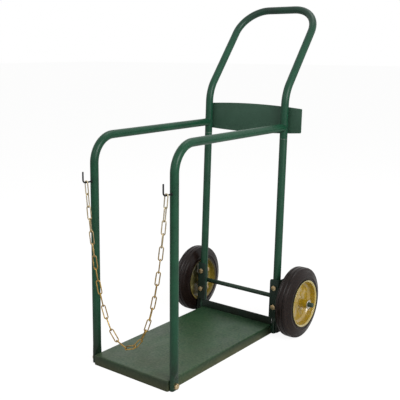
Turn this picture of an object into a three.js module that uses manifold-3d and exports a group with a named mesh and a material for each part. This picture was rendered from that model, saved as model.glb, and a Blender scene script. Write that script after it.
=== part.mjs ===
// Oxy acetylene torch cart: a folded sheet tray on two wheels, four bent-tube legs and rails,
// a leaning push handle, a back plate and a chain across the front.
// Millimetres, +Z up. The front (chain side) faces -Y. The origin is on the floor, at the middle
// of the tray's front flange. Lengths along Y below are measured from that flange's front face.

import * as THREE from "three";
import { mergeVertices } from "three/addons/utils/BufferGeometryUtils.js";
import Module from "manifold-3d";

// ---------------------------------------------------------------- driving dimensions

const gap = 0.3; // clearance between two pieces that touch

const tubeDia = 26.7; // all frame tube
const tubeWall = 2.0;
const sideX = 159.5; // half the distance between the left and right frame tubes

const footThickness = 14.4; // across the flattened tube end
const footHeight = 36; // straight part of the flattened end
const footBlend = 30; // where the flat end swells back to the round tube
const rearFootBlend = 22; // the same on the rear uprights, which are round again above the stop
const footLift = 2; // tube end above the floor

const trayDepth = 615;
const trayHeight = 32;
const traySheet = 3;
const trayCorner = 5; // plan radius of the four corners
const trayFold = 4; // radius of the fold from deck to flange
const panelFromSide = 28; // the deck's bearing panel, from the tray's sides
const panelFromEnd = 120; // and from the tray's front and the stop

const stopHeight = 27; // angle bar that stops the rear cylinder
const stopSheet = 3;
const stopFromRear = 30; // front face of the stop, from the tray's rear edge
const stopFromSide = 1; // its ends, from the tray's side flanges

const postY = 22; // front posts
const railZ = 736; // side rails
const railBend = 84;

const uprightFromRear = 17.3; // axis of a rear upright at the floor, from the tray's rear edge
const uprightLean = 2.18; // degrees, backwards
const sleeveBelowRail = 39; // lower end of the handle tube, where it slips over the upright
const spigotLength = 90; // swaged end of the upright inside the handle tube

const shoulderAbovePlate = 41.6; // where the handle breaks backwards, from the back plate's top
const shoulderBend = 125;
const gripBehind = 266.3; // grip bar, from where the uprights meet the floor
const gripZ = 1145;
const gripBend = 105;

const plateSheet = 2.5; // back plate, measured along the uprights
const plateAboveRail = 24; // middle of the plate
const plateMidHeight = 102;
const plateEndHeight = 90; // at its short, left end
const plateLeftX = -172;
const plateRightX = 218; // the plate runs on past the right upright

const tyreRadius = 124;
const treadWidth = 38; // over the shoulders
const tyreBaseWidth = 58; // the side walls widen towards the rim
const tyreHaunchDrop = 17; // from the tread down to the middle of the side wall's slope
const tyreBulgeDrop = 28; // from the tread down to the widest part
const grooveDepth = 3;
const grooveX = 7.5; // the two tread grooves, from the wheel's centre plane
const rimLipRadius = 83;
const rimWidth = 63; // over both lips
const rimSheet = 1.8;
const rimShoulder = 10.4; // the disc turns outwards this far inside the barrel
const pressingCount = 5; // raised spokes pressed into each rim half
const pressingHeight = 5;
const pressingFrom = 38; // radii between which the spokes stand at their full height
const pressingTo = 55;
const hubRadius = 14.7;
const hubInnerProud = 0.9; // hub ends, beyond the rim's lips
const hubOuterProud = 11.5;

const axleDia = 15.9;
const hubPlay = 0.65; // between the left hub and its bracket
const axleBehind = 24.8; // from an upright's axis to the axle's, squarely
const axleShift = 10.2; // the axle floats in its brackets and sits this far to the right
const axleTip = 15; // bare axle beyond each washer
const axleChamfer = 1.2;
const washerRadius = 15.5;
const washerThickness = 2.5;

const bracketSheet = 3;
const bracketWebWidth = 36;
const bracketFlangeDepth = 56;
const bracketFlangeBottomZ = 7; // the flange runs down outside the foot, the web ends on the stop
const bracketTopZ = 199;
const bracketCorner = 8;

const boltDia = 10;
const boltHeadAcross = 17;
const boltHeadHeight = 6.4;
const boltNutHeight = 8;
const boltStub = 3; // thread left beyond the nut
const bracketBoltZ = [99, 168];
const footBoltZ = 15;

const pinWire = 1.45; // cotter pin
const pinHoleRadius = 1.95;
const pinFromWasher = 5;
const pinEyeHeight = 6; // top of the eye above the rod
const pinSpread = 6; // bent leg ends, either side of the middle

const hookDia = 5; // rod hooks on the front posts
const hookZ = 597;
const hookReach = 50; // from the post's axis to the turned-up arm's
const hookRise = 34;
const hookBend = 10;

const linkCount = 28;
const linkWire = 3.6;
const linkWidth = 15; // over the outside
const linkInner = 39.5; // inside length
const chainGap = 0.35; // between two wires that pull on each other
const chainFromPost = 36; // plane in which the chain hangs

const tubeSides = 12;
const roundSides = 18;
const wheelSides = 25; // five to each pressing
const boltSides = 12;
const wireSides = 5; // chain links and cotter pins

// ---------------------------------------------------------------- derived sizes

const tubeR = tubeDia / 2;
const boreR = tubeR - tubeWall;
const axleR = axleDia / 2;
const hookR = hookDia / 2;
const boltR = boltDia / 2;
const trayHalf = sideX - footThickness / 2 - gap; // the feet clasp the tray's side flanges
const footHalfWidth = footThickness / 2 + (Math.PI * (tubeR - footThickness / 2)) / 2;
const stopFrontY = trayDepth - stopFromRear;
const uprightY0 = trayDepth - uprightFromRear;
const lean = THREE.MathUtils.degToRad(uprightLean);
const uprightY = (z) => uprightY0 + z * Math.tan(lean);
const axleY = uprightY(tyreRadius) + axleBehind / Math.cos(lean);
const sleeveZ = railZ - sleeveBelowRail;
const plateMidZ = railZ + plateAboveRail;
const shoulderZ = plateMidZ + plateMidHeight / 2 + shoulderAbovePlate;
const gripY = uprightY0 + gripBehind;
const webHalf = bracketWebWidth / 2;
const stopTopZ = trayHeight + gap + stopHeight;
const lipX = rimWidth / 2;
const beadRadius = rimLipRadius - 5.6; // rim barrel under the tyre
const hubInnerEnd = lipX + hubInnerProud;
const hubOuterEnd = lipX + hubOuterProud;
const wheelTrack = 2 * (sideX + webHalf + axleShift + hubPlay + hubInnerEnd);
const hookReachY = postY - hookReach;
const hookTipZ = hookZ + hookRise;
const chainY = postY - chainFromPost;
const wheelX = { left: axleShift - wheelTrack / 2, right: axleShift + wheelTrack / 2 };

// ---------------------------------------------------------------- geometry helpers

const wasm = await Module();
wasm.setup();

const vec = (x, y, z) => new THREE.Vector3(x, y, z);

// A triangle soup or indexed geometry becomes one welded solid with its faces pointing out.
function toSolid(geometry) {
  const g = geometry.clone();
  g.deleteAttribute("normal");
  g.deleteAttribute("uv");
  const merged = mergeVertices(g, 1e-4);
  const position = merged.getAttribute("position").array;
  const index = [];
  for (let i = 0; i < merged.index.count; i += 3) {
    const [a, b, c] = [merged.index.getX(i), merged.index.getX(i + 1), merged.index.getX(i + 2)];
    if (a !== b && b !== c && c !== a) index.push(a, b, c);
  }
  let volume = 0;
  const p = [vec(0, 0, 0), vec(0, 0, 0), vec(0, 0, 0)];
  for (let i = 0; i < index.length; i += 3) {
    p.forEach((v, k) => v.fromArray(position, 3 * index[i + k]));
    volume += p[0].dot(p[1].clone().cross(p[2]));
  }
  if (volume < 0) for (let i = 0; i < index.length; i += 3) index.splice(i, 2, index[i + 1], index[i]);
  return new wasm.Manifold(
    new wasm.Mesh({
      numProp: 3,
      vertProperties: Float32Array.from(position),
      triVerts: Uint32Array.from(index),
    }),
  );
}

function toGeometry(solid) {
  const mesh = solid.getMesh();
  const geometry = new THREE.BufferGeometry();
  geometry.setAttribute("position", new THREE.BufferAttribute(mesh.vertProperties.slice(), 3));
  geometry.setIndex(new THREE.BufferAttribute(mesh.triVerts.slice(), 1));
  return geometry;
}

function cut(geometry, ...tools) {
  return toGeometry(tools.reduce((solid, tool) => solid.subtract(toSolid(tool)), toSolid(geometry)));
}

// Skin through rings of equal point count. A looped skin closes on its first ring; an open one
// gets a flat lid on each end ring.
function loft(rings, looped = false) {
  const sides = rings[0].length;
  const positions = rings.flat().flatMap((q) => [q.x, q.y, q.z]);
  const index = [];
  const last = looped ? rings.length : rings.length - 1;
  for (let r = 0; r < last; r++) {
    const next = (r + 1) % rings.length;
    for (let s = 0; s < sides; s++) {
      const t = (s + 1) % sides;
      const [a, b, c, d] = [r * sides + s, r * sides + t, next * sides + t, next * sides + s];
      index.push(a, b, c, a, c, d);
    }
  }
  if (!looped) {
    const end = (rings.length - 1) * sides;
    for (let s = 1; s < sides - 1; s++) index.push(0, s + 1, s, end, end + s, end + s + 1);
  }
  const geometry = new THREE.BufferGeometry();
  geometry.setAttribute("position", new THREE.Float32BufferAttribute(positions, 3));
  geometry.setIndex(index);
  return toGeometry(toSolid(geometry));
}

// Stations {p, t} along a polyline whose inner corners are rounded to the given radii.
function bentPath(points, radii, steps) {
  const stations = [];
  const first = points[1].clone().sub(points[0]).normalize();
  stations.push({ p: points[0], t: first });
  for (let i = 1; i < points.length - 1; i++) {
    const before = points[i].clone().sub(points[i - 1]).normalize();
    const after = points[i + 1].clone().sub(points[i]).normalize();
    const angle = before.angleTo(after);
    const reach = radii[i - 1] * Math.tan(angle / 2);
    const start = points[i].clone().addScaledVector(before, -reach);
    const inward = after.clone().addScaledVector(before, -after.dot(before)).normalize();
    const centre = start.clone().addScaledVector(inward, radii[i - 1]);
    const count = steps[i - 1];
    for (let k = 0; k <= count; k++) {
      const a = (angle * k) / count;
      const p = centre
        .clone()
        .addScaledVector(inward, -radii[i - 1] * Math.cos(a))
        .addScaledVector(before, radii[i - 1] * Math.sin(a));
      const t = before.clone().multiplyScalar(Math.cos(a)).addScaledVector(inward, Math.sin(a));
      stations.push({ p, t });
    }
  }
  const n = points.length;
  stations.push({ p: points[n - 1], t: points[n - 1].clone().sub(points[n - 2]).normalize() });
  return stations;
}

// Rings round the stations. section(i, station) gives the outline of ring i as 2-D points.
function sweepRings(stations, side, section) {
  let normal = side.clone();
  return stations.map((station, i) => {
    if (i > 0) {
      const turn = new THREE.Quaternion().setFromUnitVectors(stations[i - 1].t, station.t);
      normal = normal.clone().applyQuaternion(turn);
    }
    const binormal = station.t.clone().cross(normal);
    return section(i, station).map((q) =>
      station.p.clone().addScaledVector(normal, q.x).addScaledVector(binormal, q.y),
    );
  });
}

const circle = (radius, sides) =>
  Array.from({ length: sides }, (_, i) => {
    const a = ((i + 0.5) / sides) * 2 * Math.PI;
    return new THREE.Vector2(radius * Math.cos(a), radius * Math.sin(a));
  });

// Outline between a circle (flat = 0) and the flattened tube end (flat = 1), inset by a wall.
function footSection(flat, inset) {
  const straight = footHalfWidth - footThickness / 2;
  return circle(1, tubeSides).map((u) => {
    const round = new THREE.Vector2(u.x, u.y).multiplyScalar(tubeR - inset);
    const r = footThickness / 2 - inset;
    const pressed = new THREE.Vector2(u.x * r, u.y * r + Math.sign(u.y) * straight);
    return round.lerp(pressed, flat);
  });
}

// A closed tube wall: the outer rings out, the inner rings back.
function tubeWallLoft(outer, inner) {
  return loft([...outer, ...inner.slice().reverse()], true);
}

// Solid of revolution about X from a closed (x, radius) outline.
function revolveX(outline, sides) {
  const points = outline.map(([x, r]) => new THREE.Vector2(r, x));
  points.push(points[0].clone());
  const geometry = new THREE.LatheGeometry(points, sides, Math.PI); // first edge straight down
  geometry.rotateZ(-Math.PI / 2); // the lathe axis Y turns onto +X
  return toGeometry(toSolid(geometry));
}

// Round bar along X, Y or Z, centred on the origin.
function bar(radius, length, axis, sides = roundSides) {
  const geometry = new THREE.CylinderGeometry(radius, radius, length, sides);
  if (axis === "x") geometry.rotateZ(Math.PI / 2);
  if (axis === "z") geometry.rotateX(Math.PI / 2);
  return geometry;
}

// Flat sheet: a shape in the XZ plane, thickened along +Y from y = 0.
function sheetXZ(shape, thickness, curveSegments = 6) {
  const settings = { depth: thickness, bevelEnabled: false, curveSegments };
  const geometry = new THREE.ExtrudeGeometry(shape, settings);
  geometry.rotateX(Math.PI / 2);
  geometry.scale(1, -1, 1);
  return toGeometry(toSolid(geometry));
}

const group = new THREE.Group();
group.position.y = -traySheet / 2; // puts the origin midway through the front flange

const finishes = {
  enamel: { color: 0x2c6450, roughness: 0.35, metalness: 0.1 },
  enamelMatt: { color: 0x3c6a58, roughness: 0.55, metalness: 0.1 },
  rubber: { color: 0x2b2629, roughness: 0.75, metalness: 0 },
  rimPaint: { color: 0xd3ab2c, roughness: 0.3, metalness: 0.2 },
  zinc: { color: 0xb9a684, roughness: 0.4, metalness: 0.8 },
  blackRod: { color: 0x1d1e1f, roughness: 0.5, metalness: 0.4 },
  chain: { color: 0xb39a5c, roughness: 0.4, metalness: 0.85 },
};

function addMesh(name, geometry, finish, parent = group) {
  const mesh = new THREE.Mesh(geometry, new THREE.MeshStandardMaterial(finishes[finish]));
  mesh.name = name;
  parent.add(mesh);
  return mesh;
}

const sides = [
  { name: "left", sign: -1 },
  { name: "right", sign: 1 },
];

// ---------------------------------------------------------------- tray and rear stop

function roundedRectRing(halfX, y0, y1, z, radius, steps = 3) {
  const corners = [
    [halfX - radius, y1 - radius, 0],
    [-halfX + radius, y1 - radius, 1],
    [-halfX + radius, y0 + radius, 2],
    [halfX - radius, y0 + radius, 3],
  ];
  return corners.flatMap(([cx, cy, quarter]) =>
    Array.from({ length: steps + 1 }, (_, k) => {
      const a = ((quarter + k / steps) * Math.PI) / 2;
      return vec(cx + radius * Math.cos(a), cy + radius * Math.sin(a), z);
    }),
  );
}

// Pan with its flanges turned down: the skin inset by `inset`, its fold rounded at the top.
function panSkin(inset, bottom, top) {
  const fold = trayFold - inset;
  const ring = (drawIn, z) =>
    roundedRectRing(
      trayHalf - inset - drawIn,
      inset + drawIn,
      trayDepth - inset - drawIn,
      z,
      trayCorner - inset,
    );
  const rings = [ring(0, bottom)];
  for (let k = 0; k <= 3; k++) {
    const a = (k / 3) * (Math.PI / 2);
    rings.push(ring(fold * (1 - Math.cos(a)), top - fold + fold * Math.sin(a)));
  }
  return loft(rings);
}

// Gives a flat top a panel of its own: the facets at height z become a rectangle and a frame round
// it, on the same outline.
function panelled(geometry, z, halfX, y0, y1) {
  const position = Array.from(geometry.getAttribute("position").array);
  const isTop = (i) => Math.abs(position[3 * i + 2] - z) < 1e-4;
  const index = [];
  const after = new Map();
  for (let i = 0; i < geometry.index.count; i += 3) {
    const corners = [0, 1, 2].map((k) => geometry.index.getX(i + k));
    if (!corners.every(isTop)) {
      index.push(...corners);
      continue;
    }
    corners.forEach((a, k) => {
      const b = corners[(k + 1) % 3];
      if (after.get(b)?.has(a)) after.get(b).delete(a);
      else after.set(a, (after.get(a) ?? new Set()).add(b));
    });
  }
  const outline = [[...after.keys()].find((a) => after.get(a).size > 0)];
  for (let next = [...after.get(outline[0])][0]; next !== outline[0]; next = [...after.get(next)][0]) {
    outline.push(next);
  }
  const panel = [
    [-halfX, y0],
    [-halfX, y1],
    [halfX, y1],
    [halfX, y0],
  ].map(([x, y]) => position.push(x, y, z) / 3 - 1);
  const flat = (ids) => ids.map((i) => new THREE.Vector2(position[3 * i], position[3 * i + 1]));
  const ids = [...outline, ...panel];
  const frame = THREE.ShapeUtils.triangulateShape(flat(outline), [flat(panel)]);
  const faces = frame.map((face) => face.map((k) => ids[k]));
  faces.push([panel[0], panel[1], panel[2]], [panel[0], panel[2], panel[3]]);
  for (const face of faces) {
    const facesUp = THREE.ShapeUtils.area(flat(face)) > 0;
    index.push(...(facesUp ? face : face.toReversed()));
  }
  const result = new THREE.BufferGeometry();
  result.setAttribute("position", new THREE.Float32BufferAttribute(position, 3));
  result.setIndex(index);
  return result;
}

const footBoltHole = (sign) =>
  bar(boltR + gap, footThickness + 6 * traySheet, "x", boltSides).translate(sign * sideX, postY, footBoltZ);

const tray = cut(
  panSkin(0, 0, trayHeight),
  panSkin(traySheet, -1, trayHeight - traySheet),
  ...sides.map(({ sign }) => footBoltHole(sign)),
);
const panelHalf = trayHalf - panelFromSide; // the panel that the cylinders stand on
const deck = panelled(tray, trayHeight, panelHalf, panelFromEnd, stopFrontY - panelFromEnd);
addMesh("base_tray", deck, "enamel");

const stopHalf = trayHalf - stopFromSide;
const stopProfile = new THREE.Shape([
  new THREE.Vector2(0, 0),
  new THREE.Vector2(stopHeight, 0),
  new THREE.Vector2(stopHeight, stopSheet),
  new THREE.Vector2(stopSheet, stopSheet),
  new THREE.Vector2(stopSheet, stopHeight),
  new THREE.Vector2(0, stopHeight),
]);
const stop = new THREE.ExtrudeGeometry(stopProfile, { depth: 2 * stopHalf, bevelEnabled: false });
stop.rotateX(Math.PI / 2).rotateZ(Math.PI / 2);
addMesh("rear_stop", stop, "enamel").position.set(-stopHalf, stopFrontY, trayHeight + gap);

// ---------------------------------------------------------------- rear uprights

// Everything on an upright is built round its axis and leans with it.
const leaning = new THREE.Group();
leaning.position.set(0, uprightY0, 0);
leaning.rotation.x = -lean;
group.add(leaning);
const alongUpright = (z) => z / Math.cos(lean);
const axleLocalZ = tyreRadius * Math.cos(lean) + (axleY - uprightY0) * Math.sin(lean);

function footStations(blendHeight) {
  const blend = [0, 0.34, 0.67, 1];
  return [
    { z: footLift, flat: 1 },
    ...blend.map((k) => ({ z: footHeight + k * blendHeight, flat: 1 - k * k * (3 - 2 * k) })),
  ];
}

function buildUpright(sign) {
  const top = alongUpright(sleeveZ);
  const spigotR = boreR - gap;
  const ringAt = (z, outline) => outline.map((q) => vec(q.x, q.y, z));
  const foot = footStations(rearFootBlend);
  const outer = foot.map(({ z, flat }) => ringAt(z, footSection(flat, 0)));
  outer.push(ringAt(top - tubeWall - gap, circle(tubeR, tubeSides)));
  outer.push(ringAt(top - gap, circle(spigotR, tubeSides)));
  outer.push(ringAt(top + spigotLength, circle(spigotR, tubeSides)));
  const inner = foot.map(({ z, flat }) => ringAt(z, footSection(flat, tubeWall)));
  inner.push(ringAt(top - 3 * tubeWall, circle(boreR, tubeSides)));
  inner.push(ringAt(top - tubeWall, circle(spigotR - tubeWall, tubeSides)));
  inner.push(ringAt(top + spigotLength, circle(spigotR - tubeWall, tubeSides)));
  const holes = bracketBoltZ.map((z) =>
    bar(boltR + gap, 2 * tubeDia, "y", boltSides).translate(0, 0, alongUpright(z)),
  );
  return cut(tubeWallLoft(outer, inner), ...holes).translate(sign * sideX, 0, 0);
}

for (const { name, sign } of sides) addMesh(`upright_${name}`, buildUpright(sign), "enamel", leaning);

// ---------------------------------------------------------------- axle brackets

// Angle section: the web lies in front of the upright, the flange runs back outboard of it. The
// web is cut off where it meets the stop; the flange and its fold run on down past the foot.
function buildBracket(sign) {
  const webBack = -(tubeR + gap);
  const webFront = webBack - bracketSheet;
  const webBottom = (stopTopZ + gap + webBack * Math.sin(lean)) / Math.cos(lean);
  const bottom = alongUpright(bracketFlangeBottomZ);
  const top = alongUpright(bracketTopZ);
  const fold = 2 * bracketSheet;
  const back = webFront + bracketFlangeDepth;
  const plan = new THREE.Shape();
  plan.moveTo(-webHalf, webFront);
  plan.lineTo(webHalf - fold, webFront);
  plan.absarc(webHalf - fold, webFront + fold, fold, -Math.PI / 2, 0, false);
  plan.lineTo(webHalf, back);
  plan.lineTo(webHalf - bracketSheet, back);
  plan.lineTo(webHalf - bracketSheet, webFront + fold);
  plan.absarc(webHalf - fold, webFront + fold, fold - bracketSheet, 0, -Math.PI / 2, true);
  plan.lineTo(-webHalf, webFront + bracketSheet);
  const settings = { depth: top - bottom, bevelEnabled: false, curveSegments: 3 };
  const angle = new THREE.ExtrudeGeometry(plan, settings);
  angle.translate(0, 0, bottom);

  // waste outside a rounded corner, for material at +X and +Z of it
  const corner = new THREE.Shape();
  corner.moveTo(-1, -1);
  corner.lineTo(bracketCorner, -1);
  corner.lineTo(bracketCorner, 0);
  corner.absarc(bracketCorner, bracketCorner, bracketCorner, -Math.PI / 2, -Math.PI, true);
  corner.lineTo(-1, bracketCorner);
  const waste = (up) => sheetXZ(corner, 4 * bracketSheet, 3).scale(1, 1, up);
  const atWebEdge = (z, up) => waste(up).translate(-webHalf, webFront - bracketSheet, z);
  const atFlangeEdge = (z, up) =>
    waste(up).rotateZ(-Math.PI / 2).translate(webHalf - 2 * bracketSheet, back, z);
  const trims = [atWebEdge(top, -1), atFlangeEdge(top, -1), atFlangeEdge(bottom, 1)];
  const cutOff = webBottom - bottom + bracketSheet; // reaches past the bracket's lower end
  const webCut = new THREE.BoxGeometry(bracketWebWidth, 4 * bracketSheet, cutOff);
  webCut.translate(webHalf - fold - bracketWebWidth / 2, webFront, webBottom - cutOff / 2);
  const axleHole = bar(axleR + gap, 6 * bracketSheet, "x");
  axleHole.translate(webHalf, axleBehind, axleLocalZ);
  const boltHoles = bracketBoltZ.map((z) =>
    bar(boltR + gap, 4 * bracketSheet, "y", boltSides).translate(0, webFront, alongUpright(z)),
  );
  const bracket = cut(angle, ...trims, webCut, axleHole, ...boltHoles);
  if (sign < 0) bracket.scale(-1, 1, 1);
  return toGeometry(toSolid(bracket)).translate(sign * sideX, 0, 0);
}

for (const { name, sign } of sides) {
  addMesh(`axle_bracket_${name}`, buildBracket(sign), "enamel", leaning);
}

// ---------------------------------------------------------------- bolts

// Hexagon bolt with its nut, along +Y: the head's bearing face at y = 0, the nut's at `grip`.
function buildBolt(grip) {
  const headR = boltHeadAcross / Math.sqrt(3);
  const outline = new THREE.Shape(
    Array.from({ length: 6 }, (_, i) => {
      const a = (i * Math.PI) / 3;
      return new THREE.Vector2(headR * Math.cos(a), headR * Math.sin(a));
    }),
  );
  const head = sheetXZ(outline, boltHeadHeight).translate(0, -boltHeadHeight, 0);
  const nut = sheetXZ(outline, boltNutHeight).translate(0, grip, 0);
  const cone = new THREE.CylinderGeometry(headR + 1, boltHeadAcross / 2, boltHeadHeight, boltSides);
  const chamfered = toSolid(head).intersect(toSolid(cone.translate(0, -boltHeadHeight / 2, 0)));
  const shank = bar(boltR, grip + boltNutHeight + boltStub + 1, "y", boltSides);
  shank.translate(0, (grip + boltNutHeight + boltStub - 1) / 2, 0);
  return toGeometry(chamfered.add(toSolid(nut)).add(toSolid(shank)));
}

const bracketGrip = 2 * tubeR + 3 * gap + bracketSheet;
for (const { name, sign } of sides) {
  bracketBoltZ.forEach((z, i) => {
    const which = ["lower", "upper"][i];
    const bolt = addMesh(`bracket_bolt_${name}_${which}`, buildBolt(bracketGrip), "zinc", leaning);
    bolt.position.set(sign * sideX, -(tubeR + 2 * gap + bracketSheet), alongUpright(z));
  });
  const footGrip = footThickness + traySheet + 3 * gap;
  const footBolt = addMesh(`foot_bolt_${name}`, buildBolt(footGrip), "zinc");
  footBolt.position.set(sign * (sideX + footThickness / 2 + gap), postY, footBoltZ);
  footBolt.rotation.z = (sign * Math.PI) / 2;
}

// ---------------------------------------------------------------- side rails with front posts

function buildSideRail(sign) {
  const x = sign * sideX;
  const foot = footStations(footBlend);
  const shank = bentPath(
    [vec(x, postY, footHeight + footBlend), vec(x, postY, railZ), vec(x, uprightY(railZ), railZ)],
    [railBend],
    [6],
  ).slice(1);
  const stations = [...foot.map(({ z }) => ({ p: vec(x, postY, z), t: vec(0, 0, 1) })), ...shank];
  const wall = (inset) =>
    sweepRings(stations, vec(1, 0, 0), (i) => footSection(foot[i]?.flat ?? 0, inset));
  const coping = bar(tubeR + gap, 4 * tubeDia, "z").rotateX(-lean).translate(x, uprightY(railZ), railZ);
  return cut(tubeWallLoft(wall(0), wall(tubeWall)), coping, footBoltHole(sign));
}

for (const { name, sign } of sides) addMesh(`side_rail_${name}`, buildSideRail(sign), "enamel");

// ---------------------------------------------------------------- handle

const handlePath = bentPath(
  [
    vec(-sideX, uprightY(sleeveZ), sleeveZ),
    vec(-sideX, uprightY(shoulderZ), shoulderZ),
    vec(-sideX, gripY, gripZ),
    vec(sideX, gripY, gripZ),
    vec(sideX, uprightY(shoulderZ), shoulderZ),
    vec(sideX, uprightY(sleeveZ), sleeveZ),
  ],
  [shoulderBend, gripBend, gripBend, shoulderBend],
  [3, 6, 6, 3],
);
const handleWall = (radius) => sweepRings(handlePath, vec(1, 0, 0), () => circle(radius, tubeSides));
addMesh("handle_frame", tubeWallLoft(handleWall(tubeR), handleWall(boreR)), "enamel");

// ---------------------------------------------------------------- back plate

// Both long edges are parabolas, so the plate is tallest on the middle plane.
function buildPlate() {
  const crown = (plateMidHeight - plateEndHeight) / 2 / plateLeftX ** 2;
  const edge = (x) => plateMidHeight / 2 - crown * x * x;
  const controlX = (plateLeftX + plateRightX) / 2;
  const control = edge(plateRightX) + 2 * crown * plateRightX * (plateRightX - controlX);
  const outline = new THREE.Shape();
  outline.moveTo(plateLeftX, -edge(plateLeftX));
  outline.quadraticCurveTo(controlX, -control, plateRightX, -edge(plateRightX));
  outline.lineTo(plateRightX, edge(plateRightX));
  outline.quadraticCurveTo(controlX, control, plateLeftX, edge(plateLeftX));
  return sheetXZ(outline, plateSheet, 8);
}
const plate = addMesh("back_plate", buildPlate(), "enamelMatt", leaning);
plate.position.set(0, tubeR + gap, alongUpright(plateMidZ));

// ---------------------------------------------------------------- wheels

// Ring of points about X; the first one is straight down, where the tyre meets the floor.
const ringX = (x, r, swell = () => 0) =>
  Array.from({ length: wheelSides }, (_, i) => {
    const a = Math.PI + (i / wheelSides) * 2 * Math.PI;
    return vec(x + swell(a), -r * Math.sin(a), r * Math.cos(a));
  });

function buildTyre() {
  const tread = treadWidth / 2;
  const base = tyreBaseWidth / 2;
  const groove = (x) => [
    [x - 1.8, tyreRadius],
    [x, tyreRadius - grooveDepth],
    [x + 1.8, tyreRadius],
  ];
  const wall = [
    [tread - 3, tyreRadius - 1.6],
    [tread, tyreRadius - 6.5],
    [(tread + base) / 2, tyreRadius - tyreHaunchDrop],
    [base - 1, tyreRadius - tyreBulgeDrop],
    [base + 0.2, rimLipRadius + 1.5],
    [lipX - 5.8, beadRadius + gap + 0.1],
  ];
  const mirrored = wall.map(([x, r]) => [-x, r]).reverse();
  return revolveX([...mirrored, ...groove(-grooveX), ...groove(grooveX), ...wall], wheelSides);
}

// Pressed rim half, its dish facing +X: collar on the hub, raised spokes, barrel, rolled lip.
function buildRimHalf() {
  const spoke = (height) => (a) => {
    const crest = (Math.cos(pressingCount * a) + 0.2) / 0.8;
    const k = Math.min(1, Math.max(0, crest));
    return height * k * k * (3 - 2 * k);
  };
  const seat = hubRadius + gap;
  const face = [
    [12, seat],
    [4.6, 27],
    [rimSheet + gap / 2, pressingFrom, pressingHeight],
    [rimSheet + gap / 2, pressingTo, pressingHeight],
    [rimSheet + gap, beadRadius - rimShoulder],
    [9, beadRadius - 3],
    [lipX - 3.5, beadRadius - rimSheet],
    [lipX, rimLipRadius - 1],
    [lipX - 5.4, beadRadius],
    [7.4, beadRadius - 1.2],
    [gap / 2, beadRadius - rimShoulder + rimSheet],
    [gap / 2, pressingTo, pressingHeight],
    [gap / 2, pressingFrom, pressingHeight],
    [2.8, 25.4],
    [10.2, seat],
  ];
  return loft(face.map(([x, r, height = 0]) => ringX(x, r, spoke(height))), true);
}

const hubBore = axleR + gap;
const hubOutline = [
  [-hubInnerEnd, hubBore],
  [-hubInnerEnd, hubRadius - 1.5],
  [-hubInnerEnd + 1.5, hubRadius],
  [hubOuterEnd - 1.5, hubRadius],
  [hubOuterEnd, hubRadius - 1.5],
  [hubOuterEnd, hubBore],
];

for (const { name } of sides) {
  const wheel = new THREE.Group();
  wheel.position.set(wheelX[name], axleY, tyreRadius);
  if (name === "left") wheel.rotation.z = Math.PI;
  group.add(wheel);
  addMesh(`tyre_${name}`, buildTyre(), "rubber", wheel);
  addMesh(`rim_outer_${name}`, buildRimHalf(), "rimPaint", wheel);
  addMesh(`rim_inner_${name}`, buildRimHalf(), "rimPaint", wheel).rotation.z = Math.PI;
  addMesh(`hub_${name}`, revolveX(hubOutline, roundSides), "rimPaint", wheel);
}

// ---------------------------------------------------------------- axle, washers, cotter pins

const washerX = wheelTrack / 2 + hubOuterEnd + gap; // inner face, from the middle of the axle
const pinX = washerX + washerThickness + pinFromWasher;
const axleHalf = washerX + washerThickness + axleTip;

const axle = new THREE.Group();
axle.position.set(axleShift, axleY, tyreRadius);
group.add(axle);

const rod = revolveX(
  [
    [-axleHalf, 0],
    [-axleHalf, axleR - axleChamfer],
    [-axleHalf + axleChamfer, axleR],
    [axleHalf - axleChamfer, axleR],
    [axleHalf, axleR - axleChamfer],
    [axleHalf, 0],
  ],
  roundSides,
);
const pinHole = (sign) => bar(pinHoleRadius, 2 * axleDia, "z", boltSides).translate(sign * pinX, 0, 0);
addMesh("axle", cut(rod, pinHole(-1), pinHole(1)), "enamel", axle);

const washerOutline = [
  [0, hubBore],
  [0, washerRadius],
  [washerThickness, washerRadius],
  [washerThickness, hubBore],
];

// Split pin through the rod: an eye above, two legs down the hole, their ends bent apart.
function buildCotterPin() {
  const leg = pinWire / 2 + gap / 2 + 0.02;
  const below = -(axleR + gap + pinWire / 2);
  const above = axleR + gap + pinWire / 2;
  const half = [
    [pinSpread, below - pinWire],
    [leg, below],
    [leg, above],
    [pinEyeHeight / 2, above + pinEyeHeight / 2],
  ];
  const points = [
    ...half.map(([y, z]) => vec(0, -y, z)),
    vec(0, 0, above + pinEyeHeight),
    ...half.map(([y, z]) => vec(0, y, z)).reverse(),
  ];
  const path = bentPath(points, [0.6, 1, 1.4, 2, 1.4, 1, 0.6], [1, 1, 1, 2, 1, 1, 1]);
  return loft(sweepRings(path, vec(1, 0, 0), () => circle(pinWire / 2, wireSides)));
}

for (const { name, sign } of sides) {
  const washer = addMesh(`washer_${name}`, revolveX(washerOutline, roundSides), "zinc", axle);
  washer.position.x = sign * washerX;
  if (sign < 0) washer.rotation.z = Math.PI;
  addMesh(`cotter_pin_${name}`, buildCotterPin(), "zinc", axle).position.x = sign * pinX;
}

// ---------------------------------------------------------------- chain hooks

function buildHook() {
  const path = bentPath(
    [vec(0, postY - tubeR - gap, hookZ), vec(0, hookReachY, hookZ), vec(0, hookReachY, hookTipZ)],
    [hookBend],
    [5],
  );
  const tip = path[path.length - 1];
  path.push({ p: tip.p.clone().addScaledVector(tip.t, 1), t: tip.t });
  return loft(
    sweepRings(path, vec(1, 0, 0), (i) => circle(i === path.length - 1 ? hookR - 1 : hookR, 8)),
  );
}

for (const { name, sign } of sides) {
  addMesh(`chain_hook_${name}`, buildHook(), "blackRod").position.x = sign * sideX;
}

// ---------------------------------------------------------------- chain

const linkBend = (linkWidth - linkWire) / 2; // centre-line radius of a link's round ends
const linkStraight = linkInner / 2 - (linkBend - linkWire / 2); // middle to the centre of an end

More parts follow.
